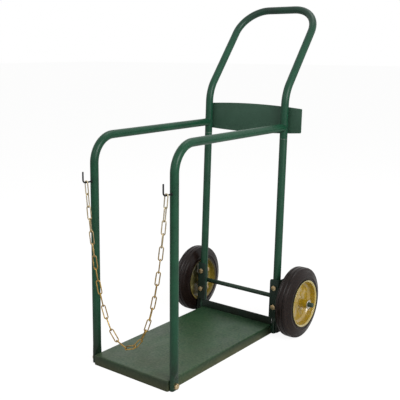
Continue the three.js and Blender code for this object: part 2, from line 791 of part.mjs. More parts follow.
// Half of the wire's centre line: the round end at +1 or -1 and half of each straight side.
function halfLink(end, count) {
  const points = [];
  for (let i = 0; i <= count; i++) {
    const a = Math.PI * (i / count - 0.5);
    points.push([end * (linkStraight + linkBend * Math.cos(a)), linkBend * Math.sin(a)]);
  }
  for (let i = 1; i <= 4; i++) {
    for (const side of [-1, 1]) points.push([(end * linkStraight * (4 - i)) / 4, side * linkBend]);
  }
  return points;
}

const farHalf = halfLink(1, 20);
const nearHalf = halfLink(-1, 20);

// Each link hangs along its own direction and is rolled a quarter turn to the one before. One more
// quarter turn is spread over the chain's ends, so that both end links lie square to their hooks.
function linkFrame(k, slope) {
  const along = vec(1, 0, slope).normalize();
  const q = (2 * k) / (linkCount - 1) - 1;
  const roll = (Math.PI / 2) * k + (Math.PI / 4) * (1 + Math.sign(q) * q ** 4);
  const level = along.clone().cross(vec(0, 1, 0));
  const across = level.multiplyScalar(Math.cos(roll)).add(vec(0, Math.sin(roll), 0));
  return { along, across };
}

const pointIn = ({ along, across }, [a, b]) => along.clone().multiplyScalar(a).addScaledVector(across, b);

// Distance between the middles of two neighbouring links that are pulled tight along `pull`.
function tightPitch(first, second, pull) {
  const a = farHalf.map((q) => pointIn(first, q));
  const b = nearHalf.map((q) => pointIn(second, q));
  const isFree = (pitch) => {
    const shift = pull.clone().multiplyScalar(pitch);
    return b.every((q) => {
      const moved = q.clone().add(shift);
      return a.every((p) => p.distanceTo(moved) > linkWire + chainGap);
    });
  };
  let high = linkInner;
  while (!isFree(high - 0.5)) high -= 0.5;
  let low = high - 0.5;
  for (let step = 0; step < 12; step++) {
    const pitch = (low + high) / 2;
    if (isFree(pitch)) low = pitch;
    else high = pitch;
  }
  return low;
}

// A hanging chain of equal links: the links' slopes rise evenly from one end to the other.
function hangChain() {
  const endReach = linkInner / 2 - hookR - gap; // from the hook's axis to the end link's middle
  const slopes = (rise, middle) => Array.from({ length: linkCount }, (_, k) => rise * (k - middle));
  const lay = (rise, middle, pitches) => {
    const frames = slopes(rise, middle).map((slope, k) => linkFrame(k, slope));
    const at = vec(-sideX, chainY, hookZ).addScaledVector(frames[0].along, endReach);
    const centres = [at.clone()];
    for (let k = 1; k < linkCount; k++) {
      const pull = frames[k - 1].along.clone().add(frames[k].along).normalize();
      centres.push(at.addScaledVector(pull, pitches[k - 1]).clone());
    }
    const end = at.clone().addScaledVector(frames[linkCount - 1].along, endReach);
    return { frames, centres, end };
  };
  let [rise, middle] = [0.7, (linkCount - 1) / 2];
  let pitches = Array(linkCount - 1).fill(linkInner - chainGap);
  for (let round = 0; round < 6; round++) {
    for (let step = 0; step < 12; step++) {
      const miss = (r, m) => {
        const { end } = lay(r, m, pitches);
        return [end.x - sideX, end.z - hookZ];
      };
      const d = 1e-4;
      const [fx, fz] = miss(rise, middle);
      const [rx, rz] = miss(rise + d, middle).map((v, i) => (v - [fx, fz][i]) / d);
      const [mx, mz] = miss(rise, middle + d).map((v, i) => (v - [fx, fz][i]) / d);
      const det = rx * mz - mx * rz;
      rise -= (fx * mz - fz * mx) / det;
      middle -= (rx * fz - rz * fx) / det;
    }
    const { frames } = lay(rise, middle, pitches);
    pitches = pitches.map((_, k) => {
      const pull = frames[k].along.clone().add(frames[k + 1].along).normalize();
      return tightPitch(frames[k], frames[k + 1], pull);
    });
  }
  return lay(rise, middle, pitches);
}

function buildLink() {
  const stations = [1, -1].flatMap((end) =>
    Array.from({ length: 5 }, (_, i) => {
      const a = Math.PI * (i / 4 - 0.5) + (end > 0 ? 0 : Math.PI);
      return {
        p: vec(end * linkStraight + linkBend * Math.cos(a), linkBend * Math.sin(a), 0),
        t: vec(-Math.sin(a), Math.cos(a), 0),
      };
    }),
  );
  return loft(sweepRings(stations, vec(0, 0, 1), () => circle(linkWire / 2, wireSides)), true);
}

const chain = hangChain();
const linkGeometry = buildLink();
chain.frames.forEach(({ along, across }, k) => {
  const link = addMesh(`chain_link_${String(k + 1).padStart(2, "0")}`, linkGeometry, "chain");
  const basis = new THREE.Matrix4().makeBasis(along, across, along.clone().cross(across));
  link.quaternion.setFromRotationMatrix(basis);
  link.position.copy(chain.centres[k]);
});

export default group;
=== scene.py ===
"""Looks of the oxy acetylene torch cart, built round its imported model.

Lengths are written in millimetres and measured as the cart is: X from its middle plane, Y back
from the front face of the tray's front flange, Z up from the floor. One function turns them to
the frame's metres.
"""

import logging
import math
from dataclasses import KW_ONLY, dataclass
from enum import Enum

import bpy
import numpy as np
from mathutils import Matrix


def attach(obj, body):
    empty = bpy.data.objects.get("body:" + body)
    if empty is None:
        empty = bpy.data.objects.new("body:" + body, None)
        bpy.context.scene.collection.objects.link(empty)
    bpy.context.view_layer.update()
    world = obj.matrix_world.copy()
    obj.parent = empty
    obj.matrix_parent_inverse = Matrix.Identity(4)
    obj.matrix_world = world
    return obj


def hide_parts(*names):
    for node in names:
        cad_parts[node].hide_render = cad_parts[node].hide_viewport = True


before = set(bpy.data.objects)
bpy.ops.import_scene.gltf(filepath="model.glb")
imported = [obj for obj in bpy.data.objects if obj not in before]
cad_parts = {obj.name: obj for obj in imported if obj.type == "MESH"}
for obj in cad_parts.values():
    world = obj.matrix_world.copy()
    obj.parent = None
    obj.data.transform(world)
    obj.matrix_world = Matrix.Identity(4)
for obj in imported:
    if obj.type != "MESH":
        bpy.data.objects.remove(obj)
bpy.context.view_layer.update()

LOG = logging.getLogger("torch_cart")

MM = 0.001
ORIGIN_Y = 1.5  # the frame's origin lies midway through the 3 mm front flange
TURN = 2.0 * math.pi
GAP = 0.3  # clearance between pieces that touch
X_AXIS, Y_AXIS, Z_AXIS = np.eye(3)

Array = np.ndarray
Pair = tuple[float, float]
Place = tuple[float, float, float]
Rgba = tuple[float, float, float, float]
Tree = bpy.types.NodeTree
Socket = bpy.types.NodeSocket


@dataclass(frozen=True)
class Shell:
    """A closed surface.

    Attributes:
        points: Vertices, (count, 3).
        corners: Vertex numbers, face after face.
        sizes: How many corners each face has.
    """

    points: Array
    corners: Array
    sizes: Array

    def moved(self, turn: Array, shift: Array) -> "Shell":
        """The shell multiplied by a rotation matrix and then shifted."""
        points = self.points @ np.asarray(turn, float).T + np.asarray(shift, float)
        return Shell(points, self.corners, self.sizes)


def joined(shells: list[Shell]) -> Shell:
    """Several shells as one list of points and faces."""
    starts = np.cumsum([0] + [len(s.points) for s in shells[:-1]])
    corners = np.concatenate([s.corners + start for s, start in zip(shells, starts)])
    sizes = np.concatenate([s.sizes for s in shells])
    return Shell(np.vstack([s.points for s in shells]), corners, sizes)


class Side(Enum):
    """Left and right of the cart, as seen by someone facing the chain."""

    LEFT = -1
    RIGHT = 1

    @property
    def tag(self) -> str:
        """The word that ends the names of this side's pieces."""
        return self.name.lower()


class Body(Enum):
    """The rigid bodies that pieces ride on."""

    FRAME = "frame"
    WHEEL_LEFT = "wheel_left"
    WHEEL_RIGHT = "wheel_right"
    CHAIN = "chain"


# ---------------------------------------------------------------- shape helpers


def unit(vectors: Array) -> Array:
    """Vectors divided by their own lengths."""
    return vectors / np.linalg.norm(vectors, axis=-1, keepdims=True)


def ease(value: Array) -> Array:
    """Smooth step from 0 to 1: 3v^2 - 2v^3 of the value held between 0 and 1."""
    v = np.clip(value, 0.0, 1.0)
    return v * v * (3.0 - 2.0 * v)


def angles(count: int) -> Array:
    """Evenly spaced angles of one full turn, the last short of the first."""
    return np.arange(count) * (TURN / count)


def circle(radius: float, count: int) -> Array:
    """Points (r cos a, r sin a) round a circle."""
    a = angles(count)
    return radius * np.stack([np.cos(a), np.sin(a)], -1)


def rounds(radii: Array, count: int) -> Array:
    """A circular section for each radius, (rows, columns, 2)."""
    return radii[:, None, None] * circle(1.0, count)[None]


def line_of(x: Array | float, y: Array | float, z: Array | float) -> Array:
    """Points of a line whose fixed coordinates are given as single numbers."""
    return np.stack(np.broadcast_arrays(x, y, z), -1)


def bend(corners: Array, radii: Array, steps: int) -> tuple[Array, Array]:
    """Rounds the inner corners of an open line.

    A corner p of turning angle w between unit directions d and e becomes the arc
    c - n r cos(a) + d r sin(a), a from 0 to w, with n square to d on the inner side and
    c = p - d r tan(w/2) + n r.

    Args:
        corners: The line's points, ends included.
        radii: One radius for each inner corner.
        steps: Chords in each arc.

    Returns:
        Points and unit tangents along the rounded line.
    """
    d = unit(np.diff(corners, axis=0))
    before, after = d[:-1], d[1:]
    cosine = np.clip(np.sum(before * after, -1, keepdims=True), -1.0, 1.0)
    turn = np.arccos(cosine)[:, None, :]
    aside = after - before * cosine
    inward = aside / np.maximum(np.linalg.norm(aside, axis=-1, keepdims=True), 1e-12)
    r = np.asarray(radii, float)[:, None]
    start = corners[1:-1] - before * r * np.tan(turn[:, 0] / 2.0)
    a = np.linspace(0.0, 1.0, steps + 1)[None, :, None] * turn
    n, b, r3 = inward[:, None], before[:, None], r[:, None]
    arc = (start + inward * r)[:, None] - n * r3 * np.cos(a) + b * r3 * np.sin(a)
    tangent = b * np.cos(a) + n * np.sin(a)
    size = corners.shape[1]
    points = np.vstack([corners[:1], arc.reshape(-1, size), corners[-1:]])
    return points, np.vstack([d[:1], tangent.reshape(-1, size), d[-1:]])


def round_outline(corners: Array, radius: float | Array, steps: int) -> Array:
    """Closed outline with every corner rounded, cut back where an edge is too short.

    Args:
        corners: Corner points in order.
        radius: Wanted radius, one or one for each corner.
        steps: Chords in each arc.

    Returns:
        The outline's points, without a repeat of the first.
    """
    here = np.asarray(corners, float)
    to_last, to_next = np.roll(here, 1, 0) - here, np.roll(here, -1, 0) - here
    room = 0.49 * np.minimum(np.linalg.norm(to_last, axis=1), np.linalg.norm(to_next, axis=1))
    turn = np.pi - np.arccos(np.clip(np.sum(unit(to_last) * unit(to_next), -1), -1.0, 1.0))
    fitted = np.minimum(np.broadcast_to(radius, room.shape), room / np.tan(turn / 2.0))
    closed = np.vstack([0.5 * (here[-1:] + here[:1]), here, 0.5 * (here[-1:] + here[:1])])
    return bend(closed, fitted, steps)[0][1:-1]


def carry(path: Array, tangents: Array, section: Array, aside: Array) -> Array:
    """Carries a flat section along a path.

    Each point is p + u f + v g, with f the part of `aside` square to the tangent t and g = t x f.

    Args:
        path: Path points, (rows, 3).
        tangents: Unit tangents, (rows, 3) or one for the whole path.
        section: Section points (u, v), (columns, 2) or one section for each row.
        aside: Direction that the section's first axis leans to.

    Returns:
        Lattice of points, (rows, columns, 3).
    """
    tangents = np.broadcast_to(tangents, path.shape)
    along = tangents @ aside
    first = unit(aside[None, :] - along[:, None] * tangents)[:, None, :]
    second = np.cross(tangents[:, None, :], first)
    return path[:, None, :] + section[..., 0:1] * first + section[..., 1:2] * second


def revolve(profile: Array, count: int) -> Array:
    """Turns a closed (x, r) profile about X: point (x, -r sin a, r cos a) at angle a."""
    a = angles(count)[:, None]
    x, r = profile[None, :, 0], profile[None, :, 1]
    return np.stack([x + 0.0 * a, -r * np.sin(a), r * np.cos(a)], -1)


def slab(thickness: float, low: Array, high: Array, edge: float) -> Array:
    """Cross-sections of a sheet: rounded rectangles (u through the sheet, v from low to high).

    Args:
        thickness: Sheet thickness.
        low: Lower edge at each row.
        high: Upper edge at each row.
        edge: Radius of the sheet's edges.

    Returns:
        Sections, (rows, columns, 2).
    """
    arc = np.linspace(0.0, math.pi / 2.0, 4)
    quarter = np.stack([thickness / 2.0 - edge + edge * np.cos(arc), edge * np.sin(arc) - edge], -1)
    upper = np.vstack([quarter, quarter[::-1] * [-1.0, 1.0]])
    lower = upper[::-1] * [1.0, -1.0]
    v = np.concatenate([high[:, None] + upper[:, 1], low[:, None] + lower[:, 1]], 1)
    u = np.concatenate([upper[:, 0], lower[:, 0]])
    return np.stack([np.broadcast_to(u, v.shape), v], -1)


def skin(lattice: Array, looped: bool = False) -> Shell:
    """Closes a lattice whose columns run round into a shell with its faces pointing out.

    Args:
        lattice: Points, (rows, columns, 3).
        looped: True where the last row joins the first; otherwise each end row gets a lid.

    Returns:
        The shell.
    """
    rows, columns, _ = lattice.shape
    r = np.arange(rows if looped else rows - 1)[:, None]
    c = np.arange(columns)[None, :]
    up, side = (r + 1) % rows, (c + 1) % columns
    ring = [r * columns + c, r * columns + side, up * columns + side, up * columns + c]
    quads = np.stack(ring, -1).reshape(-1, 4)
    first = np.arange(columns)
    lids = np.stack([first[::-1], first + (rows - 1) * columns])[: 0 if looped else 2]
    points = lattice.reshape(-1, 3)
    fans = [quads[:, [0, 1, 2]], quads[:, [0, 2, 3]]]
    fans += [np.stack([np.full(columns - 2, lid[0]), lid[1:-1], lid[2:]], -1) for lid in lids]
    corner = points[np.vstack(fans)]
    volume = np.sum(np.cross(corner[:, 0], corner[:, 1]) * corner[:, 2])
    if volume < 0.0:
        quads, lids = quads[:, ::-1], lids[:, ::-1]
    sizes = np.concatenate([np.full(len(quads), 4), np.full(len(lids), columns)])
    return Shell(points, np.concatenate([quads.ravel(), lids.ravel()]), sizes)


def hollow(outer: Array, inner: Array) -> Shell:
    """Wall between two lattices: down the outer rows and back along the inner ones."""
    return skin(np.concatenate([outer, inner[::-1]]), looped=True)


def bead(path: Array, tangents: Array, aside: Array, width: float, ripple: float) -> Shell:
    """Weld bead: a round section whose radius swells and falls along its length.

    Radius = w/2 (1 + 0.12 sin(2 pi s / ripple)), which tapers to about a third over the first and
    last 2 mm.

    Args:
        path: Centre line.
        tangents: Its unit tangents, or one for a straight bead.
        aside: Direction that starts the section.
        width: Bead width.
        ripple: Length of one weld ripple.

    Returns:
        The bead's shell.
    """
    step = np.linalg.norm(np.diff(path, axis=0), axis=1)
    s = np.concatenate([[0.0], np.cumsum(step)])
    taper = 0.35 + 0.65 * ease(np.minimum(s, s[-1] - s) / 2.0)
    r = 0.5 * width * taper * (1.0 + 0.12 * np.sin(TURN * s / ripple))
    return skin(carry(path, tangents, rounds(r, 10), aside))


def bead_ring(path: Array, width: float, ripples: int) -> Shell:
    """Closed weld bead round a looped centre line.

    Args:
        path: Points round the loop, without a repeat of the first.
        width: Bead width.
        ripples: Number of weld ripples round the loop.

    Returns:
        The bead's shell.
    """
    tangents = unit(np.roll(path, -1, 0) - np.roll(path, 1, 0))
    outward = unit(path - path.mean(axis=0))
    outward = unit(outward - np.sum(outward * tangents, -1, keepdims=True) * tangents)
    second = np.cross(tangents, outward)
    wave = 1.0 + 0.12 * np.sin(ripples * angles(len(path)))
    ring = rounds(0.5 * width * wave, 10)
    points = path[:, None] + ring[..., 0:1] * outward[:, None] + ring[..., 1:2] * second[:, None]
    return skin(points, looped=True)


# ---------------------------------------------------------------- finishes


def srgb(code: str) -> Rgba:
    """Linear RGBA of an sRGB hex colour such as "1f5a45"."""
    parts = np.array([int(code[i : i + 2], 16) / 255.0 for i in (0, 2, 4)])
    linear = np.where(parts <= 0.04045, parts / 12.92, ((parts + 0.055) / 1.055) ** 2.4)
    return (float(linear[0]), float(linear[1]), float(linear[2]), 1.0)


def add_node(
    tree: Tree,
    kind: str,
    settings: dict[str | int, object],
    links: dict[str | int, Socket] | None = None,
) -> bpy.types.Node:
    """Adds one shader node.

    Args:
        tree: The material's node tree.
        kind: Blender's name of the node type.
        settings: Values by property name, or by input name or number.
        links: Source sockets by input name or number.

    Returns:
        The new node.
    """
    node = tree.nodes.new(kind)
    for name, value in settings.items():
        if isinstance(name, str) and hasattr(node, name):
            setattr(node, name, value)
        else:
            node.inputs[name].default_value = value
    for name, source in (links or {}).items():
        tree.links.new(source, node.inputs[name])
    return node


def blots(size_mm: float, detail: float) -> dict[str, float]:
    """Settings of a noise pattern whose blots are about `size_mm` across."""
    return {"Scale": 1.0 / (size_mm * MM), "Detail": detail, "Roughness": 0.55}


def ramp(span: Pair, to: Pair) -> dict[str, float]:
    """Settings of a clamped linear map from one range to another."""
    return dict(zip(("From Min", "From Max", "To Min", "To Max"), span + to))


def cloud(
    tree: Tree, where: Socket, size_mm: float, detail: float, span: Pair, to: Pair
) -> Socket:
    """A cloudy value, 0 to 1 or between other ends.

    Args:
        tree: The material's node tree.
        where: Object coordinates.
        size_mm: Size of its blots.
        detail: How many finer layers of noise it has.
        span: Raw noise values that give the two ends; noise seldom leaves 0.3 to 0.7.
        to: The two ends.

    Returns:
        Its output socket.
    """
    raw = add_node(tree, "ShaderNodeTexNoise", blots(size_mm, detail), {"Vector": where})
    value = {"Value": raw.outputs["Fac"]}
    return add_node(tree, "ShaderNodeMapRange", ramp(span, to), value).outputs[0]


def lay(tree: Tree, below: Socket | Rgba, code: str, *shares: Socket) -> Socket:
    """Lays a colour over another.

    Args:
        tree: The material's node tree.
        below: The colour underneath.
        code: The colour on top, as sRGB hex.
        *shares: How much of it shows, 0 to 1; several are multiplied.

    Returns:
        Output socket of the mixed colour.
    """
    share = shares[0]
    for other in shares[1:]:
        product = add_node(tree, "ShaderNodeMath", {"operation": "MULTIPLY"}, {0: share, 1: other})
        share = product.outputs[0]
    blend = add_node(tree, "ShaderNodeMix", {"data_type": "RGBA", 7: srgb(code)}, {0: share})
    if isinstance(below, tuple):
        blend.inputs[6].default_value = below
    else:
        tree.links.new(below, blend.inputs[6])
    return blend.outputs[2]


@dataclass(frozen=True)
class Wear:
    """A cloudy band of colour that fades in along one axis, or by radius from a line; bands serve
    as wear, grime, painted shade and painted highlight.

    Attributes:
        axis: "X", "Y" or "Z" of the cart, or "R", the distance from `about`.
        fade_end: Place along the axis where it has faded out, in millimetres of the frame.
        full: Place where it is at its strongest.
        colour: Its colour.
        amount: Its share there, 0 to 1.
        cloud_mm: Size of its blots.
        about: Y and Z of the line along X that "R" is measured from.
    """

    axis: str
    fade_end: float
    full: float
    colour: str
    amount: float
    cloud_mm: float = 40.0
    about: Pair = (0.0, 0.0)

    def place(self, tree: Tree, where: Socket) -> Socket:
        """Output socket of the place along the axis, in metres."""
        if self.axis != "R":
            parts = add_node(tree, "ShaderNodeSeparateXYZ", {}, {"Vector": where})
            return parts.outputs[self.axis]
        centre = (0.0, self.about[0] * MM, self.about[1] * MM)
        without_x = (0.0, 1.0, 1.0)
        kind = "ShaderNodeVectorMath"
        away = add_node(tree, kind, {"operation": "SUBTRACT", 1: centre}, {0: where})
        mask = {"operation": "MULTIPLY", 1: without_x}
        flat = add_node(tree, kind, mask, {0: away.outputs[0]})
        return add_node(tree, kind, {"operation": "LENGTH"}, {0: flat.outputs[0]}).outputs["Value"]

    def over(self, tree: Tree, where: Socket, colour: Socket) -> Socket:
        """Output socket of the colour with this band over it."""
        first, last = sorted([self.fade_end * MM, self.full * MM])
        ends = (0.0, self.amount) if self.full > self.fade_end else (self.amount, 0.0)
        fade = ramp((first, last), ends)
        share = add_node(tree, "ShaderNodeMapRange", fade, {"Value": self.place(tree, where)})
        uneven = cloud(tree, where, self.cloud_mm, 4.0, (0.3, 0.65), (0.35, 1.0))
        return lay(tree, colour, self.colour, share.outputs[0], uneven)


@dataclass(frozen=True)
class Finish:
    """A finish whose colour drifts to a second one, with fine relief under its gloss.

    Attributes:
        name: Name of its material.
        colour: Its main colour, as sRGB hex.
        tint: The colour that it drifts to.
        slot: A material slot's name; not used.
        roughness: Middle of its roughness.
        swing: Factors of the roughness where it is glossiest and dullest.
        grain_mm: Size of the bumps of its relief.
        grain_depth_mm: Depth of the bumps.
        grain_detail: How many finer layers of bumps there are.
        grain_strength: How far the relief tilts the surface, 0 to 1.
        wear: Bands of grime, scuffs, painted shade and painted highlight over the colour.
    """

    name: str
    colour: str
    tint: str
    _: KW_ONLY
    slot: str
    roughness: float
    swing: Pair
    grain_mm: float
    grain_depth_mm: float
    grain_detail: float
    grain_strength: float
    wear: tuple[Wear, ...] = ()

    def paint(self, tree: Tree, where: Socket) -> Socket:
        """Output socket of its colour before its bands are laid over it."""
        raise NotImplementedError

    def shine(self) -> dict[str, float]:
        """The shader's fixed settings."""
        raise NotImplementedError

    def drift(self) -> Pair:
        """Blot size and detail of the changes in roughness: those of the grain."""
        return self.grain_mm, self.grain_detail

    def material(self) -> bpy.types.Material:
        """Builds its node material on Object coordinates."""
        material = bpy.data.materials.new(self.name)
        material.use_nodes = True
        tree = material.node_tree
        tree.nodes.clear()
        where = add_node(tree, "ShaderNodeTexCoord", {}).outputs["Object"]
        colour = self.paint(tree, where)
        for band in self.wear:
            colour = band.over(tree, where, colour)
        ends = (self.roughness * self.swing[0], self.roughness * self.swing[1])
        rough = cloud(tree, where, *self.drift(), (0.3, 0.7), ends)
        grain = blots(self.grain_mm, self.grain_detail)
        bumps = add_node(tree, "ShaderNodeTexNoise", grain, {"Vector": where}).outputs["Fac"]
        relief = {"Strength": self.grain_strength, "Distance": self.grain_depth_mm * MM}
        bump = add_node(tree, "ShaderNodeBump", relief, {"Height": bumps}).outputs[0]
        layers = {"Base Color": colour, "Roughness": rough, "Normal": bump}
        shader = add_node(tree, "ShaderNodeBsdfPrincipled", self.shine(), layers)
        add_node(tree, "ShaderNodeOutputMaterial", {}, {"Surface": shader.outputs[0]})
        return material


@dataclass(frozen=True)
class Enamel(Finish):
    """Sprayed and stoved gloss enamel on steel.

    It gives a smooth, fairly sharp sheen with a faint orange peel, a slight change of depth from
    place to place, and a bloom of dust on faces that look up.
    """

    dust: str
    _: KW_ONLY
    slot: str = "green_enamel"
    roughness: float = 0.3
    swing: Pair = (0.85, 1.25)
    patch_mm: float = 70.0
    patch_amount: float = 0.6
    speck_mm: float = 3.0
    speck_amount: float = 0.18
    dust_amount: float = 0.12
    grain_mm: float = 4.5
    grain_depth_mm: float = 0.04
    grain_detail: float = 1.0
    grain_strength: float = 0.2
    gloss: float = 0.24
    coat: float = 0.0

    def drift(self) -> Pair:
        """Blot size and detail of the changes in roughness: slow, from patch to patch."""
        return self.patch_mm * 0.4, 4.0

    def paint(self, tree: Tree, where: Socket) -> Socket:
        """Output socket of deeper patches, then specks, then dust on what looks up."""
        patches = cloud(tree, where, self.patch_mm, 3.0, (0.3, 0.7), (0.0, self.patch_amount))
        colour = lay(tree, srgb(self.colour), self.tint, patches)
        specks = cloud(tree, where, self.speck_mm, 2.0, (0.35, 0.75), (0.0, self.speck_amount))
        colour = lay(tree, colour, self.dust, specks)
        normal = add_node(tree, "ShaderNodeNewGeometry", {}).outputs["Normal"]
        upward = add_node(tree, "ShaderNodeSeparateXYZ", {}, {"Vector": normal}).outputs["Z"]
        fade = ramp((0.5, 1.0), (0.0, self.dust_amount))
        level = add_node(tree, "ShaderNodeMapRange", fade, {"Value": upward}).outputs[0]
        uneven = cloud(tree, where, self.patch_mm * 0.6, 5.0, (0.3, 0.7), (0.25, 1.0))
        return lay(tree, colour, self.dust, level, uneven)

    def shine(self) -> dict[str, float]:
        """The shader's fixed settings: a resin film, with a clear coat where it is polished."""
        film = {"IOR": 1.5, "Specular IOR Level": self.gloss}
        return film | {"Coat Weight": self.coat, "Coat Roughness": 0.1}


@dataclass(frozen=True)
class Rubber(Finish):
    """Moulded black tyre rubber.

    It gives a dull brown-black with a soft broad sheen, paler in clouds where talc and dust stay.
    The mould's texture is drawn coarser than it is, so that it shows.
    """

    _: KW_ONLY
    slot: str = "tyre_rubber"
    roughness: float = 0.55
    swing: Pair = (0.9, 1.2)
    gloss: float = 0.25
    cloud_mm: float = 26.0
    grain_mm: float = 1.4
    grain_depth_mm: float = 0.05
    grain_detail: float = 2.0
    grain_strength: float = 0.5

    def paint(self, tree: Tree, where: Socket) -> Socket:
        """Output socket of bloom in clouds over the black."""
        bloom = cloud(tree, where, self.cloud_mm, 5.0, (0.35, 0.75), (0.0, 0.55))
        return lay(tree, srgb(self.colour), self.tint, bloom)

    def shine(self) -> dict[str, float]:
        """The shader's fixed settings."""
        return {"IOR": 1.52, "Specular IOR Level": self.gloss}


@dataclass(frozen=True)
class PlatedSteel(Finish):
    """Zinc-plated steel, passivated yellow or clear.

    It gives a soft metal glint whose tint drifts between straw and brown over a few millimetres.
    The crystals of real plating are too fine to show, so the grain is drawn coarser.
    """

    _: KW_ONLY
    slot: str = "zinc_hardware"
    roughness: float = 0.36
    swing: Pair = (0.8, 1.3)
    drift_mm: float = 14.0
    drift_amount: float = 0.8
    grain_mm: float = 0.9
    grain_depth_mm: float = 0.03
    grain_detail: float = 2.0
    grain_strength: float = 0.4

    def paint(self, tree: Tree, where: Socket) -> Socket:
        """Output socket of the passivation's drift from one colour to the other."""
        drift = cloud(tree, where, self.drift_mm, 3.0, (0.35, 0.65), (0.0, self.drift_amount))
        return lay(tree, srgb(self.colour), self.tint, drift)

    def shine(self) -> dict[str, float]:
        """The shader's fixed settings: bare metal."""
        return {"Metallic": 1.0}


# grime and painted shade darken the lowest part of every foot, near the floor and beside the wheels
LOW_GRIME_AND_SHADE = Wear("Z", 190.0, 40.0, "22251e", 0.9, 30.0)
# Y and Z of the axle in the frame, which the rims' painted highlight and painted shade are measured
# from
AXLE_LINE = (625.7, 124.0)

# frame tube: smooth dark green gloss, almost black where it turns away
GREEN = Enamel(
    "green_gloss_enamel", "174b33", "123827", "587a66",
    roughness=0.29, speck_amount=0.1, dust_amount=0.02, grain_depth_mm=0.02, wear=(LOW_GRIME_AND_SHADE,),
)
# the same paint on the uprights, with painted shade of the wheels darkening them below the tyres'
# top
GREEN_REAR = Enamel(
    "green_upright_enamel", "1b4a34", "153829", "587a66",
    speck_amount=0.12, dust_amount=0.02, grain_depth_mm=0.02,
    # painted shade: darker from 300 mm down to the foot
    wear=(Wear("Z", 300.0, 60.0, "20261f", 0.95, 30.0),),
)
# the same paint on the handle, greyed at the grip by hands
GREEN_HANDLE = Enamel(
    "green_handle_enamel", "194c36", "143929", "587a66",
    roughness=0.29, speck_amount=0.12, dust_amount=0.03, grain_depth_mm=0.02,
    wear=(Wear("Z", 1040.0, 1150.0, "2b3331", 0.75, 60.0),),
)
# the tray: the same enamel, scuffed and speckled by cylinders, with painted shade and a painted
# reflection on its back, fold and flanges
GREEN_DECK = Enamel(
    "green_deck_enamel", "204d30", "143523", "667657",
    roughness=0.38, patch_mm=110.0, patch_amount=0.9, speck_mm=8.0, speck_amount=0.5,
    dust_amount=0.03, gloss=0.2,
    wear=(
        Wear("Y", 440.0, 10.0, "646952", 0.36, 60.0),  # pale where cylinders are slid on
        Wear("Y", 440.0, 600.0, "14281c", 0.6, 80.0),  # painted shade over the back of the deck, against the stop
        Wear("Z", 31.6, 29.0, "1c2b1b", 0.85, 400.0),  # painted shade along the fold
        Wear("Z", 27.0, 6.0, "5a5a3f", 0.8, 90.0),  # painted reflection of the warm floor, olive on the flanges' lower part
        Wear("Y", 8.0, 2.0, "272b22", 0.5, 90.0),  # painted shade on the front flange
    ),
)
# the back plate: thinner paint on flat sheet, so duller and a little greyer
GREEN_PLATE = Enamel(
    "green_plate_enamel", "375646", "284636", "5f7b6a",
    slot="green_enamel_matt", roughness=0.42, speck_amount=0.25,
)
# paint over weld beads, a little rougher
GREEN_WELD = Enamel(
    "green_weld_enamel", "1a4030", "123226", "4f6c5b", roughness=0.38, dust_amount=0.03,
)
# brackets and stop: the same green painted nearly black as painted shade, for faces turned to the
# front and shaded by the wheels
GREEN_SHADED = Enamel(
    "green_bracket_enamel", "1f322a", "15251f", "3f5348",
    roughness=0.38, dust_amount=0.05, wear=(LOW_GRIME_AND_SHADE,),
)
# axle: the frame's green painted darker, as painted shade between the wheels, with dust along its
# top
GREEN_AXLE = Enamel(
    "green_axle_enamel", "24392d", "1a2b21", "4c5c4c",
    roughness=0.36, patch_mm=30.0, dust_amount=0.3,
)
# outer rim halves and hubs: glossy golden yellow with sharp reflections
RIM_YELLOW = Enamel(
    "yellow_rim_enamel", "ad8d10", "7a600f", "e0dc9a",
    slot="yellow_rim_paint", roughness=0.12, patch_mm=30.0, patch_amount=0.4,
    speck_amount=0.06, dust_amount=0.03, grain_depth_mm=0.01, gloss=0.7, coat=1.0,
    wear=(Wear("R", 76.0, 80.0, "c9c37e", 0.75, 50.0, AXLE_LINE),),  # painted highlight on the lip
)
# inner rim halves: the same yellow with painted shade in the dish and on the lip, the barrel left
# yellow
RIM_INSIDE = Enamel(
    "yellow_inner_rim_enamel", "ac9438", "857024", "c4bd84",
    slot="yellow_rim_paint", roughness=0.24, patch_mm=30.0, patch_amount=0.4,
    speck_amount=0.06, dust_amount=0.03, grain_depth_mm=0.01, gloss=0.5,
    wear=(
        Wear("R", 72.0, 68.0, "4d5644", 0.97, 300.0, AXLE_LINE),  # painted shade in the dish, grey-green
        Wear("R", 75.0, 77.0, "2a2823", 0.95, 300.0, AXLE_LINE),  # painted shade on the lip
    ),
)
# chain hooks: bare rod dipped in black, semi-gloss
BLACK_ROD = Enamel(
    "black_rod_enamel", "17191a", "0e0f10", "3a3d3e",
    slot="black_rod", roughness=0.4, patch_mm=12.0, dust_amount=0.05,
)
# tyres: brown-black with a fine pale speckle
TYRE = Rubber(
    "moulded_tyre_rubber", "120c0b", "35251f", roughness=0.26, gloss=0.17, cloud_mm=5.0,
)
# bolts and split pins: yellow-passivated zinc, straw to brown
BOLT_ZINC = PlatedSteel("yellow_zinc_bolt", "cdb792", "957b55", roughness=0.42)
# washers: clear zinc, pale grey
WASHER_ZINC = PlatedSteel(
    "clear_zinc_washer", "dcdad0", "aaa490", roughness=0.3, drift_mm=6.0,
)
# chain: yellow zinc, golden below and worn pale above, where it is handled
CHAIN_ZINC = PlatedSteel(
    "yellow_zinc_chain", "b99a55", "765c37",
    slot="yellow_zinc_chain", roughness=0.34, drift_mm=22.0,
    wear=(Wear("Z", 330.0, 560.0, "cbc5b1", 0.8, 30.0),),
)
# cut edge of the handle tube: steel scuffed bare through the green
SLEEVE_EDGE = PlatedSteel(
    "scuffed_sleeve_edge", "8e968c", "4e6357", roughness=0.5, drift_mm=5.0,
)

MATERIALS: dict[str, bpy.types.Material] = {}


